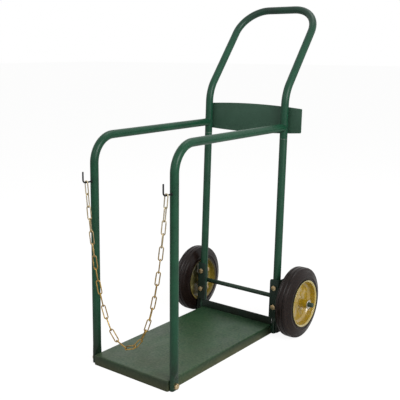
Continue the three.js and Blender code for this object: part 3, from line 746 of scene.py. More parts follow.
def make_piece(
    name: str,
    shells: list[Shell],
    finish: Finish,
    *nodes: str,
    body: Body = Body.FRAME,
    crease: float = 38.0,
) -> bpy.types.Object:
    """Makes one finished piece of the cart, parents it to the body it rides on and hides the CAD
    nodes that it replaces.

    Args:
        name: Name of the piece.
        shells: Closed shells in millimetres.
        finish: What covers it.
        *nodes: CAD nodes that it replaces.
        body: Rigid body that it rides on.
        crease: Angle in degrees past which an edge stays sharp.

    Returns:
        The new object.
    """
    shell = joined(shells)
    mesh = bpy.data.meshes.new(name)
    mesh.vertices.add(len(shell.points))
    mesh.vertices.foreach_set("co", ((shell.points - [0.0, ORIGIN_Y, 0.0]) * MM).ravel())
    mesh.loops.add(len(shell.corners))
    mesh.loops.foreach_set("vertex_index", shell.corners.astype(np.int32))
    mesh.polygons.add(len(shell.sizes))
    starts = np.concatenate([[0], np.cumsum(shell.sizes)[:-1]])
    mesh.polygons.foreach_set("loop_start", starts.astype(np.int32))
    mesh.update(calc_edges=True)
    mesh.polygons.foreach_set("use_smooth", np.ones(len(shell.sizes), dtype=bool))
    mesh.set_sharp_from_angle(angle=math.radians(crease))
    if finish.name not in MATERIALS:
        MATERIALS[finish.name] = finish.material()
    mesh.materials.append(MATERIALS[finish.name])
    piece = bpy.data.objects.new(name, mesh)
    bpy.context.scene.collection.objects.link(piece)
    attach(piece, body.value)
    if nodes:
        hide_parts(*nodes)
    LOG.info("%s: %d faces", name, len(shell.sizes))
    return piece


# ---------------------------------------------------------------- the cart


@dataclass(frozen=True)
class Tube:
    """The cart's frame tube and the line that its rear uprights lean along."""

    diameter: float = 26.7
    wall: float = 2.0
    side_x: float = 159.5
    floor_y: float = 597.7
    lean_degrees: float = 2.18
    foot_thickness: float = 14.4
    foot_height: float = 36.0
    foot_blend: float = 30.0
    rear_foot_blend: float = 22.0
    foot_lift: float = 2.0
    sides: int = 40

    @property
    def radius(self) -> float:
        """Outer radius."""
        return self.diameter / 2.0

    @property
    def foot_straight(self) -> float:
        """Half the straight part of a pressed foot's outline, which keeps the tube's girth."""
        return math.pi * (self.radius - self.foot_thickness / 2.0) / 2.0

    @property
    def lean(self) -> float:
        """Lean of the uprights in radians."""
        return math.radians(self.lean_degrees)

    def y_at(self, z: float | Array) -> float | Array:
        """Y of an upright's axis at height z."""
        return self.floor_y + z * math.tan(self.lean)

    def along(self, z: float) -> float:
        """Length along an upright's axis from the floor to height z."""
        return z / math.cos(self.lean)

    def leaned(self, shell: Shell, x: float = 0.0) -> Shell:
        """A shell built round the Z axis, leaned back on to an upright's axis at x."""
        c, s = math.cos(self.lean), math.sin(self.lean)
        turn = np.array([[1.0, 0.0, 0.0], [0.0, c, s], [0.0, -s, c]])
        return shell.moved(turn, [x, self.floor_y, 0.0])

    def foot_sections(self, z: Array, inset: float, blend: float) -> Array:
        """Tube outlines at heights z: pressed flat below, round above.

        The outline is (1 - f) circle + f obround, f = 1 - smoothstep((z - foot height) / blend),
        and the obround keeps the round tube's girth.

        Args:
            z: Heights of the rows.
            inset: Distance inside the outer surface.
            blend: Height over which the flat end swells back to round.

        Returns:
            Sections (u across the cart, v along it), (rows, columns, 2).
        """
        a = angles(self.sides) + math.pi / self.sides
        ring = np.stack([np.cos(a), np.sin(a)], -1)
        spread = np.stack([0.0 * a, np.sign(ring[:, 1]) * self.foot_straight], -1)
        pressed = ring * (self.foot_thickness / 2.0 - inset) + spread
        flat = 1.0 - ease((z - self.foot_height) / blend)
        f = flat[:, None, None]
        return (1.0 - f) * ring * (self.radius - inset) + f * pressed

    def foot_rows(self, blend: float) -> Array:
        """Heights of the rows that form a flattened foot."""
        swell = self.foot_height + blend * np.linspace(0.0, 1.0, 13)
        return np.concatenate([[self.foot_lift], swell])


TUBE = Tube()


@dataclass(frozen=True)
class TrayBuild:
    """Folded sheet tray and the angle bar that stops the rear cylinder."""

    depth: float = 615.0
    height: float = 32.0
    sheet: float = 3.0
    corner: float = 5.0
    fold: float = 4.0
    stop_height: float = 27.0
    stop_front: float = 585.0
    stop_half: float = 151.0
    stitch_places: tuple[float, ...] = (-118.0, 0.0, 118.0)
    stitch_half: float = 14.0

    @property
    def half(self) -> float:
        """Half the tray's width: the feet clasp its side flanges."""
        return TUBE.side_x - TUBE.foot_thickness / 2.0 - GAP

    def ring(self, inset: float, draw_in: float, z: float) -> Array:
        """Rounded rectangle in plan, drawn in from the tray's outside by inset + draw_in."""
        d = inset + draw_in
        x, y0, y1 = self.half - d, d, self.depth - d
        corners = np.array([[x, y1], [-x, y1], [-x, y0], [x, y0]])
        plan = round_outline(corners, self.corner - inset, 6)
        return np.column_stack([plan, np.full(len(plan), z)])

    def skin_rings(self, inset: float, bottom: float, top: float) -> Array:
        """Rings up one side of the sheet: straight flange, then a quarter-round fold."""
        fold = self.fold - inset
        folded = [
            self.ring(inset, fold * (1.0 - math.cos(a)), top - fold + fold * math.sin(a))
            for a in np.linspace(0.0, math.pi / 2.0, 7)
        ]
        return np.stack([self.ring(inset, 0.0, bottom)] + folded)

    def build(self) -> None:
        """Makes the tray, its stop and the stitch welds between them."""
        outer = self.skin_rings(0.0, 0.0, self.height)
        inner = self.skin_rings(self.sheet, 0.0, self.height - self.sheet)
        pan = skin(np.concatenate([inner[::-1], outer]))
        make_piece("folded_tray", [pan], GREEN_DECK, "base_tray")
        h, t = self.stop_height, self.sheet
        legs = np.array([[0.0, 0.0], [h, 0.0], [h, t], [t, t], [t, h], [0.0, h]])
        profile = round_outline(legs, np.array([0.8, 0.6, 0.6, 2.0, 0.6, 0.6]), 4)
        x = np.array([-self.stop_half, self.stop_half])[:, None]
        y = self.stop_front + profile[None, :, 0]
        z = self.height + GAP + profile[None, :, 1]
        make_piece("cylinder_stop", [skin(line_of(x, y, z))], GREEN_SHADED, "rear_stop")
        welds = [self.stitch(middle) for middle in self.stitch_places]
        make_piece("stop_stitch_welds", welds, GREEN_WELD)

    def stitch(self, middle: float) -> Shell:
        """One stitch of weld along the back of the stop's foot."""
        x = np.linspace(middle - self.stitch_half, middle + self.stitch_half, 43)
        path = line_of(x, self.stop_front + self.stop_height + 0.2, self.height + 1.0)
        return bead(path, X_AXIS, Z_AXIS, width=4.0, ripple=2.4)


@dataclass(frozen=True)
class FrontFrame:
    """Side rails whose front ends bend down into the front posts."""

    post_y: float = 22.0
    rail_z: float = 736.0
    rail_bend: float = 84.0

    def rail(self, side: Side) -> Shell:
        """One rail: a tube along post, bend and rail, its end cut to saddle the upright.

        The cut end follows y = y_axis(z) - sqrt(R^2 - u^2), u across the tube.
        """
        x = side.value * TUBE.side_x
        feet = TUBE.foot_rows(TUBE.foot_blend)
        corners = np.array(
            [
                [x, self.post_y, feet[-1]],
                [x, self.post_y, self.rail_z],
                [x, float(TUBE.y_at(self.rail_z)), self.rail_z],
            ]
        )
        shank, tangents = bend(corners, np.array([self.rail_bend]), 24)
        path = np.vstack([line_of(x, self.post_y, feet), shank[1:]])
        tangent = np.vstack([np.tile(Z_AXIS, (len(feet), 1)), tangents[1:]])
        heights = np.concatenate([feet, np.full(len(shank) - 1, math.inf)])
        outer, inner = (
            carry(path, tangent, TUBE.foot_sections(heights, inset, TUBE.foot_blend), X_AXIS)
            for inset in (0.0, TUBE.wall)
        )
        for wall in (outer, inner):
            end = wall[-1]
            across = np.clip(end[:, 0] - x, -TUBE.radius, TUBE.radius)
            reach = np.sqrt(TUBE.radius**2 - across**2)
            end[:, 1] = TUBE.y_at(end[:, 2]) - reach + 0.4
        return hollow(outer, inner)

    def saddle_weld(self, side: Side) -> Shell:
        """Weld round the rail's end: (R sin p, y_axis - R |cos p|, R cos p) about the joint."""
        p = angles(96)
        r = TUBE.radius
        z = self.rail_z + r * np.cos(p)
        y = TUBE.y_at(z) - np.sqrt(np.maximum(r**2 - (r * np.sin(p)) ** 2, 1.2**2)) - 0.3
        x = side.value * TUBE.side_x + (r - 0.2) * np.sin(p)
        return bead_ring(np.column_stack([x, y, z]), width=3.2, ripples=30)

    def build(self) -> None:
        """Makes both rails and their saddle welds."""
        for side in Side:
            name = f"bent_rail_{side.tag}"
            make_piece(name, [self.rail(side)], GREEN, f"side_rail_{side.tag}")
        welds = [self.saddle_weld(side) for side in Side]
        make_piece("rail_saddle_welds", welds, GREEN_WELD)


@dataclass(frozen=True)
class RearFrame:
    """Leaning uprights, the push handle slipped over them, and the back plate."""

    sleeve_z: float = 697.0
    spigot: float = 90.0
    shoulder_z: float = 852.6
    shoulder_bend: float = 125.0
    grip_y: float = 864.0
    grip_z: float = 1145.0
    grip_bend: float = 105.0
    plate_sheet: float = 2.5
    plate_z: float = 760.0
    plate_mid: float = 102.0
    plate_end: float = 90.0
    plate_left: float = -172.0
    plate_right: float = 218.0
    plate_corner: float = 3.0
    weld_length: float = 31.0
    weld_aside: float = 6.2
    foot_weld_low: float = 5.0
    foot_weld_high: float = 28.0

    def upright(self, side: Side) -> Shell:
        """One upright: flattened foot, round shank and the swaged end inside the handle."""
        feet = TUBE.foot_rows(TUBE.rear_foot_blend)
        top = TUBE.along(self.sleeve_z)
        bore = TUBE.radius - TUBE.wall
        narrow = bore - GAP
        swage = top - TUBE.wall - GAP
        z = np.concatenate([feet, [swage, swage + 0.5 * TUBE.wall, top - GAP, top + self.spigot]])
        outer_r = np.array([1.0, 0.985, narrow / TUBE.radius, narrow / TUBE.radius])
        inner_r = np.full(4, (narrow - TUBE.wall) / bore)
        walls = []
        for inset, shrink in ((0.0, outer_r), (TUBE.wall, inner_r)):
            section = TUBE.foot_sections(z, inset, TUBE.rear_foot_blend)
            section[-4:] *= shrink[:, None, None]
            height = np.broadcast_to(z[:, None, None], section.shape[:2] + (1,))
            walls.append(np.concatenate([section, height], -1))
        return TUBE.leaned(hollow(*walls), side.value * TUBE.side_x)

    def slip_ring(self, side: Side) -> Shell:
        """The cut lower edge of the handle tube, bare where it meets the upright."""
        top = TUBE.along(self.sleeve_z)
        r = TUBE.radius
        profile = [(top - 1.5, r - 1.6), (top - 1.5, r - 0.5), (top - 1.1, r - 0.1)]
        profile += [(top - 0.2, r - 0.1), (top + 0.1, r - 0.5), (top + 0.1, r - 1.6)]
        rows = [line_of(*circle(radius, 48).T, z) for z, radius in profile]
        return TUBE.leaned(skin(np.stack(rows), looped=True), side.value * TUBE.side_x)

    def handle_line(self) -> tuple[Array, Array]:
        """Centre line and tangents of the handle, from left socket over the grip to right."""
        x = TUBE.side_x
        leg = [[x, float(TUBE.y_at(z)), z] for z in (self.sleeve_z, self.shoulder_z)]
        leg.append([x, self.grip_y, self.grip_z])
        right = np.array(leg)
        left = right * [-1.0, 1.0, 1.0]
        radii = [self.shoulder_bend, self.grip_bend, self.grip_bend, self.shoulder_bend]
        return bend(np.vstack([left, right[::-1]]), np.array(radii), 20)

    def handle(self) -> Shell:
        """The bent handle tube, its section carried with one axis square to its upper plane."""
        path, tangents = self.handle_line()
        rise = self.grip_z - self.shoulder_z
        back = self.grip_y - float(TUBE.y_at(self.shoulder_z))
        square = unit(np.array([0.0, rise, -back]))
        radii = (TUBE.radius, TUBE.radius - TUBE.wall)
        return hollow(*[carry(path, tangents, circle(r, TUBE.sides), square) for r in radii])

    def plate_half_height(self, x: Array) -> Array:
        """Half the plate's height at x: a parabola, tallest on the middle plane."""
        crown = (self.plate_mid - self.plate_end) / 2.0 / self.plate_left**2
        return self.plate_mid / 2.0 - crown * x * x

    def plate(self) -> Shell:
        """The back plate: a thin rounded slab section carried across the cart."""
        left, right, corner = self.plate_left, self.plate_right, self.plate_corner
        ends = corner * (1.0 - np.cos(np.linspace(0.0, math.pi / 2.0, 6)))
        between = np.linspace(left + 4.0 * corner, right - 4.0 * corner, 40)
        x = np.concatenate([left + ends, between, right - ends[::-1]])
        inwards = np.clip(np.minimum(x - left, right - x), 0.0, corner)
        cut = corner - np.sqrt(corner**2 - (corner - inwards) ** 2)
        half = self.plate_half_height(x) - cut
        section = slab(self.plate_sheet, -half, half, 0.5)
        sheet = skin(carry(line_of(x, 0.0, 0.0), X_AXIS, section, Y_AXIS))
        up = TUBE.along(self.plate_z)
        lifted = sheet.moved(np.eye(3), [0.0, TUBE.radius + GAP + self.plate_sheet / 2.0, up])
        return TUBE.leaned(lifted)

    def plate_weld(self, side: Side, edge: int, at: int) -> Shell:
        """Fillet weld in the corner between tube and plate, beside one upright.

        Args:
            side: Which upright.
            edge: -1 or 1, the tube's left or right.
            at: -1 or 1, the lower or upper stretch.

        Returns:
            The bead.
        """
        x = side.value * TUBE.side_x
        half = float(self.plate_half_height(np.array(x)))
        up = TUBE.along(self.plate_z)
        z = up + at * np.linspace(half - self.weld_length, half - 0.5, 61)
        y = math.sqrt((TUBE.radius + 0.2) ** 2 - self.weld_aside**2) + 0.9
        path = line_of(edge * self.weld_aside, y, z)
        return TUBE.leaned(bead(path, Z_AXIS * at, X_AXIS, width=3.8, ripple=2.6), x)

    def foot_weld(self, side: Side, edge: int) -> Shell:
        """Weld down one edge of a rear foot against the tray's side flange."""
        half_width = TUBE.foot_thickness / 2.0 + TUBE.foot_straight
        z = np.linspace(self.foot_weld_low, self.foot_weld_high, 47)
        x = side.value * (TrayBuild().half + 1.0)
        y = TUBE.y_at(z) + edge * (half_width - 3.2)
        return bead(line_of(x, y, z), Z_AXIS, X_AXIS, width=3.6, ripple=2.4)

    def build(self) -> None:
        """Makes the uprights, the handle, the plate and their welds."""
        for side in Side:
            tag = side.tag
            upright = [self.upright(side)]
            make_piece(f"leaning_upright_{tag}", upright, GREEN_REAR, f"upright_{tag}")
            make_piece(f"slip_joint_edge_{tag}", [self.slip_ring(side)], SLEEVE_EDGE)
        make_piece("push_handle", [self.handle()], GREEN_HANDLE, "handle_frame")
        make_piece("curved_back_plate", [self.plate()], GREEN_PLATE, "back_plate")
        edges = [(side, edge) for side in Side for edge in (-1, 1)]
        welds = [self.plate_weld(side, edge, at) for side, edge in edges for at in (-1, 1)]
        make_piece("plate_welds", welds, GREEN_WELD)
        feet = [self.foot_weld(side, edge) for side, edge in edges]
        make_piece("rear_foot_welds", feet, GREEN_WELD)


@dataclass(frozen=True)
class BoltMake:
    """Hexagon bolts with their nuts."""

    diameter: float = 10.0
    across: float = 17.0
    head: float = 6.4
    nut: float = 8.0
    stub: float = 3.0
    pitch: float = 1.5
    burr: float = 0.15
    crease: float = 24.0
    sides: int = 48

    def hexagon(self) -> Array:
        """Radius of the hexagon at each angle: (across / 2) / cos(angle from the flat's middle)."""
        a = angles(self.sides)
        sixth = math.pi / 3.0
        return self.across / 2.0 / np.cos(np.mod(a + sixth / 2.0, sixth) - sixth / 2.0)

    def rings(self, heights: Array, radii: Array) -> Array:
        """Rings about Y: (r cos a, height, r sin a)."""
        a = angles(self.sides)
        r = np.broadcast_to(radii, (len(heights), self.sides))
        y = np.broadcast_to(heights.reshape(len(heights), -1), r.shape)
        return np.stack([r * np.cos(a), y, r * np.sin(a)], -1)

    def block(self, low: float, high: float, chamfer_low: bool) -> Shell:
        """A hexagon from low to high, its corners turned off at 30 degrees.

        The chamfer takes max(0, r - 0.95 across / 2) tan 30 off the height at radius r.

        Args:
            low: Height of the bearing face.
            high: Height of the outer face; below `low` for a head.
            chamfer_low: True where the bearing face is chamfered too.

        Returns:
            The block's shell.
        """
        hexagon = self.hexagon()
        flat = 0.95 * self.across / 2.0
        drop = np.maximum(0.0, hexagon - flat) * math.tan(math.pi / 6.0)
        up = 1.0 if high > low else -1.0
        base = up * drop if chamfer_low else 0.0 * drop
        all_round = np.ones(self.sides)
        eased = hexagon - self.burr
        heights = [low * all_round, low + base, low + base + up * self.burr]
        heights += [high - up * (drop + self.burr), high - up * drop, high * all_round]
        radii = [flat * all_round, eased, hexagon, hexagon, eased, (flat - 0.3) * all_round]
        return skin(self.rings(np.stack(heights), np.stack(radii)))

    def shank(self, grip: float) -> Shell:
        """The shank and its thread, of radius R - 0.225 (1 + cos(2 pi y / pitch))."""
        end = grip + self.nut + self.stub
        y = np.concatenate([[0.0], np.linspace(grip, end - 0.8, 61), [end]])
        r = self.diameter / 2.0
        ripple = 0.225 * (1.0 + np.cos(TURN * y / self.pitch))
        radii = np.where(y < grip + 1.0, r - 0.3, r - ripple)
        radii[-1] = r - 1.0
        return skin(self.rings(y, radii[:, None]))

    def bolt(self, grip: float) -> list[Shell]:
        """Head, nut and shank of a bolt along +Y, its head's bearing face at y = 0."""
        head = self.block(0.0, -self.head, False)
        return [head, self.block(grip, grip + self.nut, True), self.shank(grip)]


@dataclass(frozen=True)
class AxleMounts:
    """Angle brackets that carry the axle, bolted to the uprights, and the bolts of the feet."""

    sheet: float = 3.0
    web: float = 36.0
    flange: float = 56.0
    bottom: float = 7.0
    top: float = 199.0
    corner: float = 8.0
    bolt_heights: tuple[float, float] = (99.0, 168.0)
    foot_bolt_z: float = 15.0

    def bracket(self, side: Side) -> Shell:
        """One bracket: a slab section carried round the fold, its free corners cut round.

        The web ends on the stop; the flange runs on down past the foot.
        """
        fold = 1.5 * self.sheet
        front = -(TUBE.radius + GAP + self.sheet / 2.0)
        outer = self.web / 2.0 - self.sheet / 2.0
        back = front - self.sheet / 2.0 + self.flange
        line = np.array([[-self.web / 2.0, front, 0.0], [outer, front, 0.0], [outer, back, 0.0]])
        corner = self.corner * (1.0 - np.cos(np.linspace(0.0, math.pi / 2.0, 9)))
        start = line[0] + corner[:, None] * X_AXIS
        end = line[2] - corner[::-1, None] * Y_AXIS
        middle, tangent = bend(line, np.array([fold]), 10)
        path = np.vstack([start, middle[1] - 0.3 * X_AXIS, middle[1:-1], end])
        tangents = np.vstack([np.tile(X_AXIS, (10, 1)), tangent[1:-1], np.tile(Y_AXIS, (9, 1))])
        step = np.concatenate([[0.0], np.cumsum(np.linalg.norm(np.diff(path, axis=0), axis=1))])
        free = np.clip(np.stack([step, step[-1] - step]), 0.0, self.corner)
        cut = self.corner - np.sqrt(self.corner**2 - (self.corner - free) ** 2)
        low, high = TUBE.along(self.bottom) + cut[1], TUBE.along(self.top) - cut.max(axis=0)
        tray = TrayBuild()
        sunk = (TUBE.radius + GAP) * math.sin(TUBE.lean)
        seat = tray.height + tray.stop_height + 2.0 * GAP - sunk
        low[:10] = TUBE.along(seat)
        section = slab(self.sheet, low, high, 0.5)[..., ::-1]
        sheet = carry(path, tangents, section, Z_AXIS) * [side.value, 1.0, 1.0]
        return TUBE.leaned(skin(sheet), side.value * TUBE.side_x)

    def build(self) -> None:
        """Makes the brackets and every bolt."""
        make = BoltMake()
        grip = TUBE.diameter + 3.0 * GAP + self.sheet
        for side in Side:
            tag, x = side.tag, side.value * TUBE.side_x
            bracket = [self.bracket(side)]
            make_piece(f"angle_bracket_{tag}", bracket, GREEN_SHADED, f"axle_bracket_{tag}")
            for which, z in zip(("lower", "upper"), self.bolt_heights):
                seat = [0.0, -(TUBE.radius + 2.0 * GAP + self.sheet), TUBE.along(z)]
                bolt = [TUBE.leaned(part.moved(np.eye(3), seat), x) for part in make.bolt(grip)]
                name, node = f"hex_bolt_{tag}_{which}", f"bracket_bolt_{tag}_{which}"
                make_piece(name, bolt, BOLT_ZINC, node, crease=make.crease)
            s = float(side.value)
            turn = np.array([[0.0, -s, 0.0], [s, 0.0, 0.0], [0.0, 0.0, 1.0]])
            foot_grip = TUBE.foot_thickness + self.sheet + 3.0 * GAP
            face = s * (TUBE.side_x + TUBE.foot_thickness / 2.0 + GAP)
            seat = [face, FrontFrame().post_y, self.foot_bolt_z]
            bolt = [part.moved(turn, seat) for part in make.bolt(foot_grip)]
            name, node = f"hex_bolt_foot_{tag}", f"foot_bolt_{tag}"
            make_piece(name, bolt, BOLT_ZINC, node, crease=make.crease)


@dataclass(frozen=True)
class WheelMake:
    """Wheels, axle, washers and split pins."""

    radius: float = 124.0
    tread: float = 38.0
    base: float = 58.0
    groove_x: float = 7.5
    groove_depth: float = 3.0
    groove_half: float = 1.8
    lip_radius: float = 83.0
    lip_x: float = 31.5
    bead_drop: float = 5.6
    crown_from: float = 10.0
    crown_run: float = 6.0
    crown_drop: float = 1.2
    sheet: float = 1.8
    pressings: int = 5
    pressing_height: float = 5.0
    pressing_root: float = 25.5
    pressing_from: float = 38.0
    pressing_to: float = 55.0
    pressing_fall: float = 13.5
    hub_radius: float = 14.7
    hub_inner: float = 32.4
    hub_outer: float = 43.0
    collar_x: float = 12.9
    axle: float = 15.9
    track: float = 441.5
    behind: float = 24.8
    shift: float = 10.2
    tip: float = 15.0
    washer_radius: float = 15.5
    washer_sheet: float = 2.5
    pin_wire: float = 1.45
    pin_from_washer: float = 5.0
    pin_eye: float = 6.0
    pin_spread: float = 6.0
    round_sides: int = 160

    @property
    def axle_y(self) -> float:
        """Y of the axle."""
        return float(TUBE.y_at(self.radius)) + self.behind / math.cos(TUBE.lean)

    @property
    def bead(self) -> float:
        """Radius of the rim's barrel under the tyre."""
        return self.lip_radius - self.bead_drop

    def tyre_profile(self) -> Array:
        """Half-section (x, r) of the tyre: three crowned ribs, then side walls with low ridges.

        The tread runs r = R - d exp(-((|x| - g) / w)^2) - k smoothstep((|x| - m) / n), for grooves
        of depth d and half-width w at |x| = g and a crown that drops k over n from |x| = m.
        """
        r, tread, base = self.radius, self.tread / 2.0, self.base / 2.0
        x = np.linspace(3.0 - tread, tread - 3.0, 45)
        dip = self.groove_depth * np.exp(-(((np.abs(x) - self.groove_x) / self.groove_half) ** 2))
        crown = self.crown_drop * ease((np.abs(x) - self.crown_from) / self.crown_run)
        tread_line = np.stack([x, r - dip - crown], -1)
        wall = [
            [tread - 1.9, r - 1.6], [tread - 1.7, r - 3.2], [tread - 0.5, r - 4.0],
            [tread, r - 6.5], [tread + 1.7, r - 9.5], [tread + 1.5, r - 10.8],
            [tread + 3.0, r - 12.6], [(tread + base) / 2.0, r - 17.0],
            [base - 1.7, r - 26.0], [base + 0.1, r - 29.5],
            [base - 0.2, r - 32.5], [base - 1.6, r - 34.5], [base + 0.2, self.lip_radius + 1.5],
            [self.lip_x - 5.8, self.bead + GAP + 0.1],
        ]
        mirrored = [[-x, y] for x, y in wall][::-1]
        return round_outline(np.vstack([mirrored, tread_line, wall]), 1.0, 2)

    def rim_half(self) -> Shell:
        """A pressed rim half, dished towards +X.

        Its spokes rise by h c(a) g(r): c = smoothstep((cos(n a) + 0.2) / 0.8) for n spokes, a from
        the top, and g = smoothstep up below `pressing_from` and down again past `pressing_to`.
        """
        seat, s, g = self.hub_radius + GAP, self.sheet, GAP / 2.0
        face = [
            [12.0, seat, 0.5], [10.4, 18.6, 3.0], [4.6, 27.0, 5.0], [s + g, 38.0, 4.0],
            [s + g, 55.0, 5.0], [s + 0.6, 67.0, 6.0], [9.0, 74.4, 5.0],
            [self.lip_x - 3.5, self.bead - s, 2.0],
            [self.lip_x - 0.6, self.bead + 2.6, 1.5], [self.lip_x, self.lip_radius - 1.0, 0.8],
            [self.lip_x - 1.9, self.lip_radius - 1.2, 0.8], [self.lip_x - 5.4, self.bead, 2.0],
            [7.4, 76.2, 6.0], [g, 69.0, 7.0], [g, 55.0, 5.0], [g, 38.0, 4.0], [2.8, 25.4, 4.0],
            [8.8, 17.2, 3.0], [10.2, seat, 0.5],
        ]
        table = np.array(face)
        line = round_outline(table[:, :2], table[:, 2], 5)
        r = line[:, 1]
        rise = ease((r - self.pressing_root) / (self.pressing_from - self.pressing_root))
        level = rise * (1.0 - ease((r - self.pressing_to) / self.pressing_fall))
        crest = ease((np.cos(self.pressings * angles(self.round_sides)) + 0.2) / 0.8)
        dish = revolve(line, self.round_sides)
        dish[..., 0] += self.pressing_height * crest[:, None] * level[None, :]
        return skin(dish, looped=True)

    def ring(self, outline: list[list[float]], radius: float) -> Shell:
        """A turned ring about X from its closed (x, r) outline with rounded corners."""
        return skin(revolve(round_outline(np.array(outline), radius, 3), 64), looped=True)

    def hub(self) -> list[Shell]:
        """Hub tube with its two collar welds, one against each rim half."""
        bore, r = self.axle / 2.0 + GAP, self.hub_radius
        inner, outer = -self.hub_inner, self.hub_outer
        tube = [[inner, bore], [inner, r], [outer, r], [outer, bore]]
        shells = [self.ring(tube, 1.0)]
        a, collar = angles(self.round_sides), r + 0.6
        for x in (-self.collar_x, self.collar_x):
            path = line_of(x, -collar * np.sin(a), collar * np.cos(a))
            shells.append(bead_ring(path, width=3.2, ripples=36))
        return shells

    def rod(self, half: float) -> Shell:
        """The axle: a round bar about X with chamfered ends."""
        r = self.axle / 2.0
        x = np.array([-half, -half + 1.2, -half + 1.6, half - 1.6, half - 1.2, half])
        radii = np.array([r - 1.2, r - 0.15, r, r, r - 0.15, r - 1.2])
        ring = rounds(radii, 64)
        return skin(line_of(x[:, None], ring[..., 0], ring[..., 1]))

    def split_pin(self) -> Shell:
        """Split pin through the axle: an eye above it, two legs, their ends bent apart below."""
        leg = self.pin_wire / 2.0 + GAP / 4.0
        r = self.axle / 2.0 + GAP + self.pin_wire / 2.0
        eye = self.pin_eye / 2.0
        half = [[self.pin_spread, -r - self.pin_wire], [leg, -r], [leg, r], [eye, r + eye]]
        left = [[0.0, -y, z] for y, z in half]
        right = [[0.0, y, z] for y, z in half][::-1]
        corners = np.array(left + [[0.0, 0.0, r + self.pin_eye]] + right)
        path, tangents = bend(corners, np.array([0.6, 1.0, 1.4, 2.0, 1.4, 1.0, 0.6]), 6)
        return skin(carry(path, tangents, circle(self.pin_wire / 2.0, 14), X_AXIS))

    def build(self) -> None:
        """Makes both wheels, then the axle with its washers and pins."""
        half_turn = np.diag([-1.0, -1.0, 1.0])
        profile = self.tyre_profile()
        tyre = skin(revolve(profile, self.round_sides), looped=True)
        for side, body in ((Side.LEFT, Body.WHEEL_LEFT), (Side.RIGHT, Body.WHEEL_RIGHT)):
            tag = side.tag
            face_out = half_turn if side is Side.LEFT else np.eye(3)
            face_in = half_turn @ face_out
            at = [self.shift + side.value * self.track / 2.0, self.axle_y, self.radius]
            tyres = [tyre.moved(face_out, at)]
            make_piece(f"ribbed_tyre_{tag}", tyres, TYRE, f"tyre_{tag}", body=body)
            halves = (("outer", face_out, RIM_YELLOW), ("inner", face_in, RIM_INSIDE))
            for where, turn, finish in halves:
                name, node = f"pressed_rim_{where}_{tag}", f"rim_{where}_{tag}"
                make_piece(name, [self.rim_half().moved(turn, at)], finish, node, body=body)
            hub = [part.moved(face_out, at) for part in self.hub()]
            make_piece(f"welded_hub_{tag}", hub, RIM_YELLOW, f"hub_{tag}", body=body)
        washer_x = self.track / 2.0 + self.hub_outer + GAP
        half = washer_x + self.washer_sheet + self.tip
        middle = np.array([self.shift, self.axle_y, self.radius])
        rod = self.rod(half).moved(np.eye(3), middle)
        make_piece("axle_rod", [rod], GREEN_AXLE, "axle")
        bore, rim, sheet = self.axle / 2.0 + GAP, self.washer_radius, self.washer_sheet
        washer = self.ring([[0.0, bore], [0.0, rim], [sheet, rim], [sheet, bore]], 0.4)
        pin = self.split_pin()
        pin_x = washer_x + self.washer_sheet + self.pin_from_washer
        for side in Side:
            turn = half_turn if side is Side.LEFT else np.eye(3)
            tag, s = side.tag, side.value
            disc = washer.moved(turn, middle + s * washer_x * X_AXIS)
            make_piece(f"axle_washer_{tag}", [disc], WASHER_ZINC, f"washer_{tag}")
            split = pin.moved(np.eye(3), middle + s * pin_x * X_AXIS)
            make_piece(f"split_pin_{tag}", [split], BOLT_ZINC, f"cotter_pin_{tag}")


